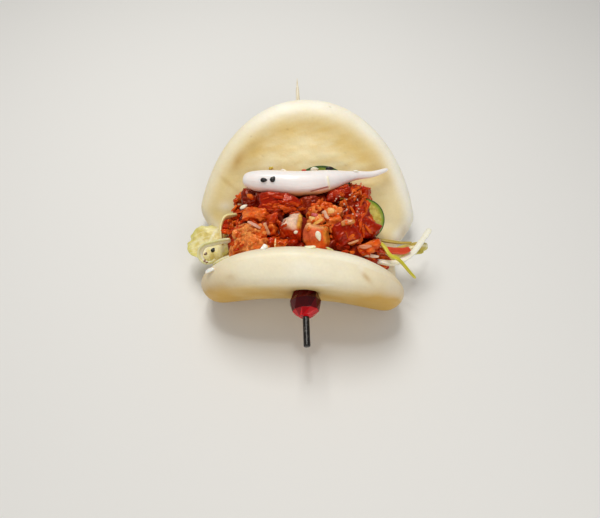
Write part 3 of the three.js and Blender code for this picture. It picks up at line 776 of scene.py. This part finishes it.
# Fibres and flecks torn off the chunks: columns and rows that they lie between, turns in degrees, lengths
# and widths in pixels, how many, and kind.
TORN_PATCHES = [
    (340, 368, 184, 200, 20, 80, 5, 11, 1.4, 2.6, 34, "strand"),
    (342, 376, 202, 238, 50, 125, 6, 13, 1.6, 3.2, 34, "strand"),
    (264, 302, 197, 213, -25, 20, 5, 12, 1.6, 3.0, 22, "glazed"),
    (226, 246, 204, 250, 15, 70, 5, 11, 1.6, 3.0, 30, "strand"),
    (238, 270, 222, 254, -90, 90, 2.0, 4.5, 1.6, 3.0, 40, "crumbly"),
    (308, 334, 204, 232, -90, 90, 2.2, 5.0, 1.6, 3.0, 34, "orange"),
    (345, 386, 238, 266, -40, 20, 5, 12, 1.6, 3.2, 24, "strand"),
    (268, 290, 218, 248, -60, 60, 3, 8, 1.6, 3.0, 18, "glazed"),
]


def surface_axes(outward, turn, tilt):
    """Rows are x, turned from the right in the view, y, and z, which leans from outward to the camera."""
    z = unit(outward - tilt * forward)
    x = view_axes(turn)[0]
    x = unit(x - z * x.dot(z))
    return np.stack([x, np.cross(z, x), z])


def build_torn_bits():
    torn = Pile()
    seed = 400
    for left, right, upper, lower, turn_low, turn_high, short, long, thin, thick, count, kind in TORN_PATCHES:
        for _ in range(count):
            met = first_met(rng.uniform(left, right), rng.uniform(upper, lower), [heap, chunks, crumbs])
            size = np.array([rng.uniform(short, long), rng.uniform(thin, thick), thin]) * MM_PER_PIXEL
            turn = rng.uniform(turn_low, turn_high)
            seed += 1
            if met:
                place, outward = met
                lump(torn, place + 0.1 * outward, size, surface_axes(outward, turn, 0.2), kind, seed, TINY)
    return torn.build("pork_torn_bits", meat_material)


torn_bits = build_torn_bits()


def cubic(a, b, start, end, t):
    """A curve from a to b that sets out at the rate start and arrives at the rate end."""
    return a + start * t + (3 * (b - a) - 2 * start - end) * t ** 2 + (2 * (a - b) + start + end) * t ** 3


def curve_points(places, count):
    """Evenly spaced points on a smooth curve through a few places, also where these are unevenly spaced."""
    p = np.asarray(places, float)
    p = np.concatenate([[2 * p[0] - p[1]], p, [2 * p[-1] - p[-2]]])
    step = np.diff(p, axis=0)
    gap = np.maximum(np.linalg.norm(step, axis=1) ** 0.5, 1e-4)[:, None]
    rate = step / gap
    two_steps = (p[2:] - p[:-2]) / (gap[:-1] + gap[1:])
    t = np.linspace(0, 1, 60, endpoint=False)[:, None]
    dense = []
    for i in range(1, len(p) - 2):
        start = (rate[i - 1] - two_steps[i - 1] + rate[i]) * gap[i]
        end = (rate[i] - two_steps[i] + rate[i + 1]) * gap[i]
        dense.append(cubic(p[i], p[i + 1], start, end, t))
    dense = np.concatenate(dense + [p[-2][None]])
    length = np.concatenate([[0], np.cumsum(np.linalg.norm(np.diff(dense, axis=0), axis=1))])
    return resampled(dense, length, np.linspace(0, length[-1], count))


def resampled(points, stations, wanted):
    """Points between the given ones, at the wanted stations."""
    return np.stack([np.interp(wanted, stations, points[:, k]) for k in range(3)], 1)


def carried_frames(route):
    """Two directions across a route at each of its points, carried along it without twist."""
    tangents = unit(np.gradient(route, axis=0))
    first = np.eye(3)[np.argmin(np.abs(tangents[0]))]
    normals = [np.cross(tangents[0], unit(np.cross(tangents[0], first)))]
    for tangent in tangents[1:]:
        normals.append(unit(normals[-1] - tangent * normals[-1].dot(tangent)))
    return np.array(normals), np.cross(tangents, normals)


# The shallot: its axis, and its half width at lengths along it.
SHALLOT_AXIS = [
    (-25.2, 13.7, 30.8), (-14.2, 12.6, 31.2), (-2.7, 12.6, 31.2), (7.5, 15.4, 30.8), (16.5, 19.6, 29.6),
    (24.0, 22.4, 28.1), (30.5, 25.8, 27.9),
]
SHALLOT_OUTLINE = [
    (0, 0), (1.5, 0.35), (2.6, 1.3), (3.6, 3.9), (4.35, 9), (4.6, 15), (4.4, 25), (3.5, 31), (2.1, 36.5),
    (1.45, 42), (1.05, 48), (0.7, 51), (0, 52),
]
# In pixels: the pale band where the tail begins, the slit low on the front, and a brown speck.
SCAR_TOP, SCAR_BOTTOM = (327.5, 177.0), (329.5, 188.5)
SLIT_START, SLIT_END = (311.5, 191.5), (328.0, 187.2)
SHALLOT_SPECK = (305.0, 194.4)
SLIT_DEPTH = 0.3
SCAR_HEIGHT = 0.28


def spline(places, steps):
    """A smooth curve through a few places, with the same number of steps between each two."""
    p = np.asarray(places, float)
    p = np.concatenate([p[:1], p, p[-1:]])
    t = np.linspace(0, 1, steps, endpoint=False)[:, None]
    rate = (p[2:] - p[:-2]) / 2
    parts = [cubic(p[i], p[i + 1], rate[i - 1], rate[i], t) for i in range(1, len(p) - 2)]
    return np.concatenate(parts + [p[-1:]])


def pixel_distance(column, row, start, end):
    """How far pixels lie from a line between two pixels."""
    along = np.subtract(end, start)
    share = ((column - start[0]) * along[0] + (row - start[1]) * along[1]) / along.dot(along)
    share = np.clip(share, 0, 1)
    return np.hypot(column - start[0] - share * along[0], row - start[1] - share * along[1])


def build_shallot():
    columns = 120
    outline = np.maximum(spline(SHALLOT_OUTLINE, 22), 0)[1:-1]
    radius, station = np.maximum(outline[:, 0], 0.02), outline[:, 1]
    rows = len(outline)
    axis = curve_points(SHALLOT_AXIS, 400)
    even = np.linspace(0, 1, len(axis))
    share = station / SHALLOT_OUTLINE[-1][1]
    route = resampled(axis, even, share)
    tangents = unit(resampled(np.gradient(axis, axis=0), even, share))
    sideways = unit(np.cross(tangents, [0, 0, 1]))
    lift = np.cross(sideways, tangents)
    angle = full_turn(columns)
    across, upward = np.cos(angle), np.sin(angle)
    station_grid = np.repeat(station, columns)
    ring = np.stack([np.tile(across, rows), np.tile(upward, rows)], 1)
    lines = noise(np.concatenate([station_grid[:, None] / 60, ring * 3.4], 1), 0.35, seed=8)
    lumps = layers(np.concatenate([station_grid[:, None], ring * 5], 1), 8, seed=15)
    lines, lumps = lines.reshape(rows, columns), lumps.reshape(rows, columns)
    body = radius[:, None] * (1 + 0.012 * lines + 0.022 * lumps)

    def placed(reach):
        return rings(route, sideways[:, None], lift[:, None], reach * across, reach * upward)

    column, row = to_pixel(placed(body).reshape(-1, 3))
    outward = unit(placed(np.ones_like(body)) - route[:, None]).reshape(-1, 3)
    turned_to_view = -(outward @ forward)
    seen = smooth((turned_to_view + 0.1) / 0.2).reshape(rows, columns)
    column, row = column.reshape(rows, columns), row.reshape(rows, columns)
    slit = bell(pixel_distance(column, row, SLIT_START, SLIT_END), 0.75) * seen
    scar = bell(pixel_distance(column, row, SCAR_TOP, SCAR_BOTTOM), 0.95) * seen
    speck = bell(np.hypot(column - SHALLOT_SPECK[0], row - SHALLOT_SPECK[1]), 0.9) * seen
    points, faces = closed_tube(placed(body - SLIT_DEPTH * slit + SCAR_HEIGHT * scar), True)

    white, lilac, blush, rust = colour("#F8F2F1"), colour("#FBF1F2"), colour("#EBB07A"), colour("#CC6A28")
    tail = smooth((station[:, None] - 24) / 16) * np.ones((rows, columns))
    tints = mix(white, lilac, 0.3 * smooth(0.5 + 0.6 * lines) + 0.5 * tail)
    facing_down = (-(outward @ view_up)).reshape(rows, columns)
    middle = bell(station[:, None] - 22, 14)
    tints = mix(tints, blush, smooth((facing_down - 0.55) / 0.4) * (0.25 + 0.95 * middle))
    under = smooth((facing_down - 0.86) / 0.14)
    tints = mix(tints, rust, 0.75 * under * middle)
    tints = mix(tints, colour("#B03A14"), slit)
    tints = mix(tints, colour("#FFF3D0"), scar)
    tints = mix(tints, colour("#6E3412"), 0.85 * speck)
    tints = np.concatenate([tints.reshape(-1, 3), [white, lilac]])
    return add_mesh("shallot_body", points, faces, tints, shallot_material, ["shallot"])


shallot = build_shallot()


def rotated(points, axis, degrees):
    return np.asarray(points) @ np.array(Matrix.Rotation(math.radians(degrees), 3, axis)).T


SLICE_THICKNESS = 2.2


def slice_piece(name, node, radius, cut, drop, roll, tilt, place, seed, skin_from):
    """A slice of cucumber, cut off straight: dark skin, a green line under it and pale wet flesh."""
    rows, columns = 26, 140
    half = math.acos(cut / radius)
    turn = np.linspace(-half, half, columns)
    rim = np.stack([radius * np.sin(turn), radius * np.cos(turn)], 1)
    chord = np.linspace(rim[-1], rim[0], 60)[1:-1]
    outline = np.concatenate([rim, chord])
    middle = np.array([0, (radius + cut) / 2])
    share = np.concatenate([np.linspace(0.02, 0.97, rows), [0.99, 1, 1, 0.99], np.linspace(0.97, 0.02, rows)])
    level = np.concatenate([np.full(rows, 0.5), [0.46, 0.36, -0.36, -0.46], np.full(rows, -0.5)])
    flat = middle + (outline - middle)[None] * share[:, None, None]
    height = np.broadcast_to(SLICE_THICKNESS * level[:, None, None], flat.shape[:2] + (1,))
    local = np.concatenate([flat[..., :1], height, flat[..., 1:]], -1)
    shape = local.reshape(-1, 3)
    lumpy = 0.08 * layers(shape, 2.2, seed=seed, count=2)
    shape = shape + np.stack([0 * lumpy, lumpy * np.sign(shape[:, 1]), 0 * lumpy], 1)
    laid = rotated(rotated(shape - [0, 0, drop], "Y", roll), "X", tilt) + place
    points, faces = closed_tube(laid.reshape(local.shape))
    flat_points = np.concatenate([shape, [[0, 0, middle[1]], [0, 0, middle[1]]]])
    out = np.linalg.norm(flat_points[:, [0, 2]], axis=1) / radius
    skin = smooth((out - skin_from) / 0.03)
    line = smooth((out - skin_from + 0.17) / 0.16)
    pattern = layers(flat_points, 1.6, seed=seed + 3, count=2)
    flesh = mix(colour("#D8CC62"), colour("#B8A230"), smooth(0.5 + pattern))
    tints = mix(mix(flesh, colour("#7C9612"), line), colour("#34560A"), skin)
    return add_mesh(name, points, faces, tints, cucumber_material, [node])


back_slice = slice_piece(
    "cucumber_slice_back", "cucumber_back", 13, 5.5, 13, 0, -46, (4.6, 24.3, 29.5), 50, 0.92)
right_slice = slice_piece(
    "cucumber_slice_right", "cucumber_right", 8, 1.5, 0, 84, -50, (20.6, 4.8, 21.4), 60, 0.93)


def curl_places():
    radius = 3.5
    places = [(8.4, 4.2, -0.6), (4.55, 4.03, -0.2)]
    for i in range(15):
        c, s = cos_sin(85 + 235 * i / 14)
        places.append((radius * c, radius * s, 0.12 * i))
    return rotated(rotated(places, "X", 34), "Y", -14) + [-35.4, -11.8, 18.2]


def shred(node, places, width, thickness, base, stripe, seed, taper, curl, look, slot):
    """A crisp strip along a route, with uneven edges, narrower or wider at its ends and bowed by its curl."""
    base = colour(base)
    route = curve_points(places, 70)
    normals, sideways = carried_frames(route)
    around = full_turn(24)
    flat_x = np.sign(np.cos(around)) * np.abs(np.cos(around)) ** 0.45
    flat_y = np.sign(np.sin(around)) * np.abs(np.sin(around)) ** 0.45
    share = np.linspace(0, 1, len(route))
    fade = taper[0] + (taper[1] - taper[0]) * share ** 3
    end = np.sqrt(np.clip(1 - (np.abs(share - 0.5) * 2) ** 24, 0, 1)) * 0.96 + 0.04
    half_width = width / 2 * fade * end * (1 + 0.1 * layers(route, 4, seed=seed, count=2))
    half_thick = thickness / 2 * (0.8 + 0.2 * fade) * end
    bow = curl * half_width[:, None] * flat_y ** 2
    high = half_thick[:, None] * flat_x + bow
    wide = half_width[:, None] * flat_y
    points, faces = closed_tube(rings(route, sideways[:, None], normals[:, None], wide, high))
    lane = np.concatenate([np.tile(flat_y, len(route)), [0, 0]])
    line = smooth(0.5 + 1.4 * noise(np.stack([lane * 3, 0 * lane, 0 * lane + seed], 1), 1, seed))
    speck = smooth(0.5 + layers(points, 3, seed=seed + 4))
    tints = mix(mix(base, colour(stripe), 0.75 * line), base * 0.82, 0.35 * speck)
    return add_mesh(node + "_strip", points, faces, tints, look, [node])


# Shreds out of both ends: node, route in mm, width and thickness in mm, colour, colour of the stripes, seed,
# share of the width at both ends, and curl.
LEFT_SHREDS = [
    ("shred_left_curl", curl_places(), 2.4, 0.9, "#FDFBEF", "#D3CF68", 71, (1, 0.9), 0.15),
    ("shred_left_upper",
     [(-27, 4.6, 20.6), (-31.2, 2.6, 21.4), (-32.4, -1.4, 20.3), (-31.8, -5.4, 19.2), (-31.2, -8, 18.2)],
     1.1, 2.6, "#E8DDA0", "#E4C877", 72, (1, 0.6), 0),
    ("shred_left_lower",
     [(-24, -12.2, 18.6), (-28.6, -13.6, 18.2), (-31, -14.2, 17.4), (-34, -15, 15.2)],
     2, 1, "#F1EED2", "#CCC42C", 73, (1, 0.6), 0),
]
RIGHT_SHREDS = [
    ("shred_right_white",
     [(24.6, -12.4, 19.2), (31, -13.4, 20), (34, -12, 19.7), (38.2, -8.4, 19.2), (42.3, -2.6, 19),
      (46.6, 4.3, 18.5)],
     2.1, 1.5, "#FDFBEF", "#F1EED2", 74, (0.9, 1.15), 0),
    ("shred_right_green",
     [(24.4, -5.4, 23), (27.1, -9.4, 24.2), (29.2, -13, 23.9), (31.8, -13.9, 23.4), (37.2, -16.4, 18.5),
      (39.4, -17.3, 16.5)],
     1.3, 1, "#CCC42C", "#E6E06A", 75, (1, 0.5), 0),
    ("shred_right_thin",
     [(26, -3.6, 20.5), (30.6, -4.4, 20.7), (34, -4.6, 20.5), (38.5, -4, 20.2)],
     1.2, 0.8, "#C2A84A", "#94803A", 76, (1, 0.6), 0),
]
PEPPER = (
    "pepper_right",
    [(25.4, -9, 21.9), (29.8, -9.4, 22), (32, -9.3, 21.8), (34.8, -8.8, 21.3), (37.2, -7.5, 20.9)],
    2.8, 1.4, "#E4501A", "#C02C04", 77, (1, 0.7), 0,
)
left_shreds = [shred(*row, shred_material, "shred") for row in LEFT_SHREDS]
for row in RIGHT_SHREDS:
    shred(*row, shred_material, "shred")
shred(*PEPPER, pepper_material, "pepper")


def leaf_piece(name, length, width, waves, turn, place, node, seed, pale, deep):
    rows, columns = 34, 120
    share = np.concatenate([np.linspace(0.02, 0.985, rows), np.linspace(0.985, 0.02, rows)])
    side = np.concatenate([np.ones(rows), -np.ones(rows)])
    angle = full_turn(columns)
    x = share[:, None] * np.cos(angle)
    y = share[:, None] * np.sin(angle)
    flat = np.stack([x * length / 2, y * width / 2, np.full_like(x, seed)], -1).reshape(-1, 3)
    wave = 0.9 * np.sin(waves * x) + 0.6 * np.cos(2.1 * y)
    wave = wave + 0.9 * smooth((share[:, None] - 0.4) / 0.6) * np.sin(3 * angle + seed)
    crinkle = 0.18 * layers(flat, 3, seed=seed, count=2).reshape(x.shape)
    rim = np.sqrt(np.clip(1 - np.minimum(share, 1) ** 8, 0, 1))[:, None]
    circle = np.stack([np.cos(angle), np.sin(angle), np.full_like(angle, seed)], 1)
    notches = smooth(noise(circle * [1.9, 1.9, 1], 1, seed + 9))
    frill = 0.93 + 0.04 * noise(circle * [5, 5, 1], 1, seed) - 0.22 * notches
    frill = 1 - (1 - frill) * smooth(share / 0.9)[:, None]
    height = wave + crinkle + side[:, None] * 0.4 * rim
    local = np.stack([x * length / 2 * frill, y * width / 2 * frill, height], -1)
    shape = rotated(local.reshape(-1, 3), "Z", turn) + place
    points, faces = closed_tube(shape.reshape(local.shape), True)
    flat_all = np.concatenate([flat, flat[:1], flat[-1:]])
    spine = bell(flat_all[:, 1], 0.5)
    ribs = np.abs(np.sin(flat_all[:, 0] * 0.9 + np.abs(flat_all[:, 1]) * 0.7))
    veins = bell(ribs, 0.2)
    spots = smooth(0.5 + layers(flat_all, 4, seed=seed + 2))
    tints = mix(colour(pale), colour(deep), spots)
    rim_share = np.concatenate([np.repeat(share, columns), [0, 0]])
    tints = mix(tints, colour("#CBC65E"), 0.6 * smooth((rim_share - 0.72) / 0.25))
    tints = mix(tints, colour("#F5EFCE"), 0.8 * spine + 0.45 * veins)
    return add_mesh(name, points, faces, tints, leaf_material, [node])


left_leaf = leaf_piece(
    "salad_leaf_left", 17, 19, 2.2, 70, (-37.2, -4.6, 13.9), "leaf_left", 81, "#F1E7AE", "#DCCA74")
leaf_piece("salad_leaf_right", 22, 7, 3.4, 14, (36.3, -3.6, 14.2), "leaf_right", 82, "#D2BC54", "#A88E26")


# The pick: bamboo stick, faceted bead and black end.
PICK_TIP = np.array([-7.8, 80.7, 29.2])
STICK_RADIUS = 1.1
POINT_LENGTH = 22.0
BEAD_RADIUS = 5.45
BEAD_FACETS = 10
BEAD_LATITUDES = [-90, -66, -36, 0, 36, 66, 90]
# Pixel of the crease on the bead: facets below it are painted lit and those above painted in shade.
BEAD_CREASE = (309, 305)
BEAD_BEVEL = 0.00015
HANDLE_START = 4.8
HANDLE_REACH = 15.3
HANDLE_END_ROUND = 0.35
TIP_MARGIN = 0.01
beam = unit(PICK_TIP - BEAD_CENTRE)
beam_side = unit(np.cross(beam, [0, 0, 1]))
beam_up = np.cross(beam_side, beam)
PICK_LENGTH = float(np.linalg.norm(PICK_TIP - BEAD_CENTRE)) - TIP_MARGIN


def lathe_on_pick(profile, columns):
    angle = full_turn(columns)
    wide, along = profile[:, :1], profile[:, 1:]
    centres = BEAD_CENTRE + beam * along
    return closed_tube(rings(centres, beam_side, beam_up, wide * np.cos(angle), wide * np.sin(angle)), True)


def build_stick():
    stations = np.linspace(0.3, PICK_LENGTH, 160)
    shoulder = [0, PICK_LENGTH - POINT_LENGTH, PICK_LENGTH - 0.4 * POINT_LENGTH, PICK_LENGTH]
    wide = np.interp(stations, shoulder, [STICK_RADIUS, STICK_RADIUS, 0.66 * STICK_RADIUS, 0.04])
    points, faces = lathe_on_pick(np.stack([wide, stations], 1), 40)
    along = (points - BEAD_CENTRE) @ beam
    around = points - BEAD_CENTRE - along[:, None] * beam
    fibre = noise(np.concatenate([around * 2.2, (along * 0.06)[:, None]], 1)[:, [0, 2, 3]], 0.6, seed=5)
    tints = mix(colour("#F7F1E0"), colour("#DDCCA2"), smooth(0.5 + fibre))
    add_mesh("pick_bamboo", points, faces, tints, bamboo_material, ["pick_stick"])


def paint_facets(mesh, points):
    """Gives each facet one red: painted shade on the facets above the crease that the front shows, and a
    painted glow of light through those below it.
    """
    mesh.attributes.remove(mesh.attributes["tint"])
    attribute = mesh.attributes.new("tint", "FLOAT_COLOR", "CORNER")
    draws = np.random.default_rng(40)
    for facet in mesh.polygons:
        column, row = to_pixel(points[list(facet.vertices)].mean(0))
        crease = BEAD_CREASE[1] + 0.35 * abs(column - BEAD_CREASE[0])
        lit = smooth((row - crease) / 3)
        shade = mix(colour("#3E0106"), colour("#6E040C"), draws.random())
        glow = mix(colour("#B4020E"), colour("#F20A1C"), draws.random())
        for corner in facet.loop_indices:
            attribute.data[corner].color = (*mix(shade, glow, lit), 1)


def build_bead():
    """A ball cut with flat facets, each row of them turned half a facet further."""
    latitude = np.radians(BEAD_LATITUDES)[:, None]
    angle = full_turn(BEAD_FACETS) + math.pi / BEAD_FACETS * (np.arange(len(latitude)) % 2)[:, None]
    reach = BEAD_RADIUS * np.maximum(np.cos(latitude), 0.02)
    centres = BEAD_CENTRE + beam * BEAD_RADIUS * np.sin(latitude)
    grid = rings(centres, beam_side, beam_up, reach * np.cos(angle), reach * np.sin(angle))
    points, faces = closed_tube(grid, True)
    triangles = []
    for face in faces:
        triangles.extend([face[:3], (face[0], *face[2:])] if len(face) == 4 else [face])
    white = np.ones_like(points)
    bead = add_mesh("pick_ball", points, triangles, white, bead_material, ["pick_bead"])
    paint_facets(bead.data, points)
    bead.data.polygons.foreach_set("use_smooth", [False] * len(bead.data.polygons))
    bevel = bead.modifiers.new("soft_edges", "BEVEL")
    bevel.width = BEAD_BEVEL
    bevel.segments = 2
    bevel.limit_method = "ANGLE"
    bevel.angle_limit = math.radians(8)


def build_handle():
    end = -HANDLE_REACH + TIP_MARGIN
    turn = np.linspace(0, math.pi / 2, 7)
    round_end = end + HANDLE_END_ROUND * (1 - np.cos(turn))
    stations = np.concatenate([round_end, np.linspace(end + 0.5, -HANDLE_START, 60)])
    wide = np.full(len(stations), STICK_RADIUS)
    wide[:len(turn)] += HANDLE_END_ROUND * (np.sin(turn) - 1)
    points, faces = lathe_on_pick(np.stack([wide, stations], 1), 40)
    # Painted highlights: grey flecks on the black end stand for the speckled reflections on its gloss.
    painted_glint_flecks = smooth((layers(points, 0.9, seed=14, count=2) - 0.2) / 0.3)
    tints = mix(colour("#0B0A09"), colour("#5E5A54"), 0.4 * painted_glint_flecks)
    add_mesh("pick_end", points, faces, tints, handle_material, ["pick_handle"])


build_stick()
build_bead()
build_handle()


# Small toppings, each laid on what shows at its pixel, and raised by so many mm at most.
CARRIERS = [bun, heap, chunks, crumbs, torn_bits, shallot, back_slice, right_slice, *left_shreds, left_leaf]
MOST_RISE = 1.2


def resting_place(px, py, turn, reach):
    """Where a small piece lies at a pixel: on what its middle meets, raised a little if its ends need it."""
    c, s = cos_sin(turn)
    spots = [first_met(px + k * reach * c, py - k * reach * s, CARRIERS) for k in (0, -1, 1)]
    away = [float(np.linalg.norm(spot[0] - LOOK_FROM)) for spot in spots if spot]
    rise = min(away[0] - min(away), MOST_RISE)
    return spots[0][0] - rise * pixel_ray(px, py), unit(sum(spot[1] for spot in spots if spot))


def seed_drop(pile, px, py, turn, length, width, base, lift):
    """A sesame seed with one pointed end, turned from the right by an angle in the view."""
    place, outward = resting_place(px, py, turn, 0.3 * length / MM_PER_PIXEL)
    rows, columns = 22, 20
    station = np.linspace(0, 1, rows)
    wide = np.sin(math.pi * station ** 0.85) ** 0.7 * (1 - 0.25 * station) + 0.02
    x, y, z = surface_axes(outward, turn, 0.5)
    angle = full_turn(columns)
    wide = wide[:, None] * width
    along = place + lift * z + ((station - 0.5) * length)[:, None] * x
    points, faces = closed_tube(rings(along, y, z, 0.56 * wide * np.cos(angle), 0.3 * wide * np.sin(angle)))
    worn = smooth(0.5 + layers(points, 0.8, seed=int(px) % 7 + 90, count=2))
    pile.add(points, faces, mix(base, base * 0.8, 0.6 * worn))


# Sesame seeds: pixel, turn in degrees, and length and width in mm.
WHITE_SEEDS = [
    (243.8, 206.9, 28, 3.1, 1.5), (318.5, 236, -74, 3.6, 1.9), (296, 232, 30, 1.6, 1.2),
    (314.5, 169.2, 5, 3.2, 1.6),
]
BLACK_SEEDS = [
    (263.9, 180.1, 0, 2.6, 1.7), (272.8, 179.2, 55, 2.4, 1.9), (329.7, 168.6, 4, 3.2, 1.7),
    (213, 250, 60, 1.9, 1.5),
]


def build_seeds(name, seeds, tone, lift):
    pile = Pile()
    for seed in seeds:
        seed_drop(pile, *seed, colour(tone), lift)
    pile.build(name, seed_material)


# Bits of onion and fat: pixel, length and width in pixels, turn in degrees, thickness in mm, colour.
ONION_BITS = [
    (253.5, 224.5, 15, 3.5, -26, 0.5, "#DCA48C"), (266.5, 229, 13, 3.5, -62, 0.6, "#F0B488"),
    (326.5, 218, 15, 5, -64, 0.8, "#F2C8A8"), (348, 222, 13, 5.5, 12, 0.8, "#CC7A24"),
    (275.3, 244, 11, 1.8, 88, 0.5, "#F0B468"), (342, 198.4, 4.5, 1.5, 0, 0.4, "#D0A020"),
    (314.5, 215, 6, 3.5, -20, 0.6, "#DC6A6A"), (312, 218, 6, 3.5, -20, 0.7, "#F2C070"),
    (317.5, 222, 11, 3, 28, 0.6, "#F0B450"), (332, 211, 8, 6, 0, 0.9, "#EDB060"),
    (309, 224.5, 4, 3, 10, 0.5, "#F0B070"), (353, 242, 11, 2.2, 14, 0.5, "#F6B080"),
    (366, 246.5, 14, 4, 9, 0.6, "#E48E60"), (371.5, 256, 14, 3.5, -10, 0.6, "#F8D6C0"),
    (264, 248.5, 7, 4.5, 62, 1.2, "#FBF8EC"), (311, 247.6, 11, 3.5, 2, 1.1, "#FBF5CC"),
    (328.5, 249, 11, 3.5, -14, 1.1, "#F6EDA6"), (381, 246, 8, 4, -50, 0.8, "#F3EDB8"),
    (271, 168.3, 5, 3, 10, 0.6, "#E8C84A"), (283.5, 170.5, 6, 2.5, 0, 0.6, "#FBF6E6"),
    (304, 170.8, 5, 3.5, 0, 0.7, "#D84A14"), (355.5, 171.3, 6, 2, 5, 0.5, "#FBF6E6"),
    (205.6, 254, 3.6, 2.2, 40, 0.4, "#6E3C10"), (204.6, 260.8, 3.4, 2, 75, 0.4, "#7E4A16"),
    (207, 262.4, 2.6, 1.8, 20, 0.4, "#8A5620"),
    (210, 270.5, 9, 3.5, 14, 1.0, "#FDFBF2"),
]
# Pale specks painted as glints of light on the dark part of the heap: columns and rows that they lie between.
GLINT_SPECKS = (334, 362, 193, 218)
GLINT_SPECK_COUNT = 22


def laid_bit(pile, px, py, length, width, turn, thickness, tone, seed):
    place, outward = resting_place(px, py, turn, 0.3 * length)
    axes3 = surface_axes(outward, turn, 0.5)
    corners, faces = BALLS[SMALL]
    shape = cut_block(corners, 5, 8, np.random.default_rng(9000 + seed))
    size = np.array([length * MM_PER_PIXEL, width * MM_PER_PIXEL, thickness])
    local = shape * size / 2
    local = local + 0.12 * unit(shape) * layers(local + seed * 11.3, 1.1, seed=3, count=2)[:, None]
    points = local @ axes3 + place + 0.15 * thickness * axes3[2]
    base = colour(tone)
    worn = smooth(0.5 + layers(points, 1.0, seed=seed, count=2))
    pile.add(points, faces, mix(base, base * 0.75, 0.5 * worn))


def build_bits():
    bits = Pile()
    for i, (px, py, length, width, turn, thickness, tone) in enumerate(ONION_BITS):
        laid_bit(bits, px, py, length, width, turn, thickness, tone, i)
    # Painted highlights: pale specks that stand for glints on the glaze.
    left, right, upper, lower = GLINT_SPECKS
    for i in range(GLINT_SPECK_COUNT):
        size = rng.uniform(1.0, 2.0)
        column, row = rng.uniform(left, right), rng.uniform(upper, lower)
        laid_bit(bits, column, row, size, size, 0, 0.5, "#F2C4AC", 50 + i)
    bits.build("onion_bits", bit_material)


build_seeds("sesame_white", WHITE_SEEDS, "#FAF4DE", 0.2)
build_seeds("sesame_black", BLACK_SEEDS, "#100D0B", 0.1)
build_bits()


# Floor, light and world. The lamps, which look at the middle: place in mm, size in m, power in W and colour.
LAMPS = {
    "key": ((-70, 150, 420), 0.2, 1.02, (1.0, 0.97, 0.91)),
    "front": ((110, -360, 240), 0.3, 0.54, (1.0, 0.97, 0.92)),
    "glint": ((-30, 40, 400), 0.03, 0.13, (1.0, 0.98, 0.95)),
}
MIDDLE = (0, 0, 15)
FLOOR_REACH = 3.0
WORLD_STRENGTH = 0.31


def build_stage():
    mesh = bpy.data.meshes.new("floor")
    corners = [(x * FLOOR_REACH, y * FLOOR_REACH, 0) for x, y in ((-1, -1), (1, -1), (1, 1), (-1, 1))]
    mesh.from_pydata(corners, [], [(0, 1, 2, 3)])
    floor = place_object("floor", mesh)
    look = bpy.data.materials.new("floor")
    look.use_nodes = True
    shader = look.node_tree.nodes["Principled BSDF"]
    shader.inputs["Base Color"].default_value = (0.82, 0.82, 0.81, 1)
    shader.inputs["Roughness"].default_value = 0.9
    mesh.materials.append(look)
    world = bpy.data.worlds.new("studio")
    world.use_nodes = True
    background = world.node_tree.nodes["Background"]
    background.inputs["Color"].default_value = (1, 0.985, 0.96, 1)
    background.inputs["Strength"].default_value = WORLD_STRENGTH
    bpy.context.scene.world = world
    for name, (place, size, power, tone) in LAMPS.items():
        light = bpy.data.lights.new(name, "AREA")
        light.shape = "SQUARE"
        light.size = size
        light.energy = power
        light.color = tone
        lamp = place_object(name, light)
        back = unit(to_frame(place) - to_frame(MIDDLE))
        right = unit(np.cross([0, 1, 0.01], back))
        turned = Matrix([right, np.cross(back, right), back]).transposed().to_4x4()
        turned.translation = to_frame(place)
        lamp.matrix_world = turned


build_stage()
bpy.context.scene.view_settings.view_transform = "Standard"
bpy.context.scene.view_settings.look = "None"
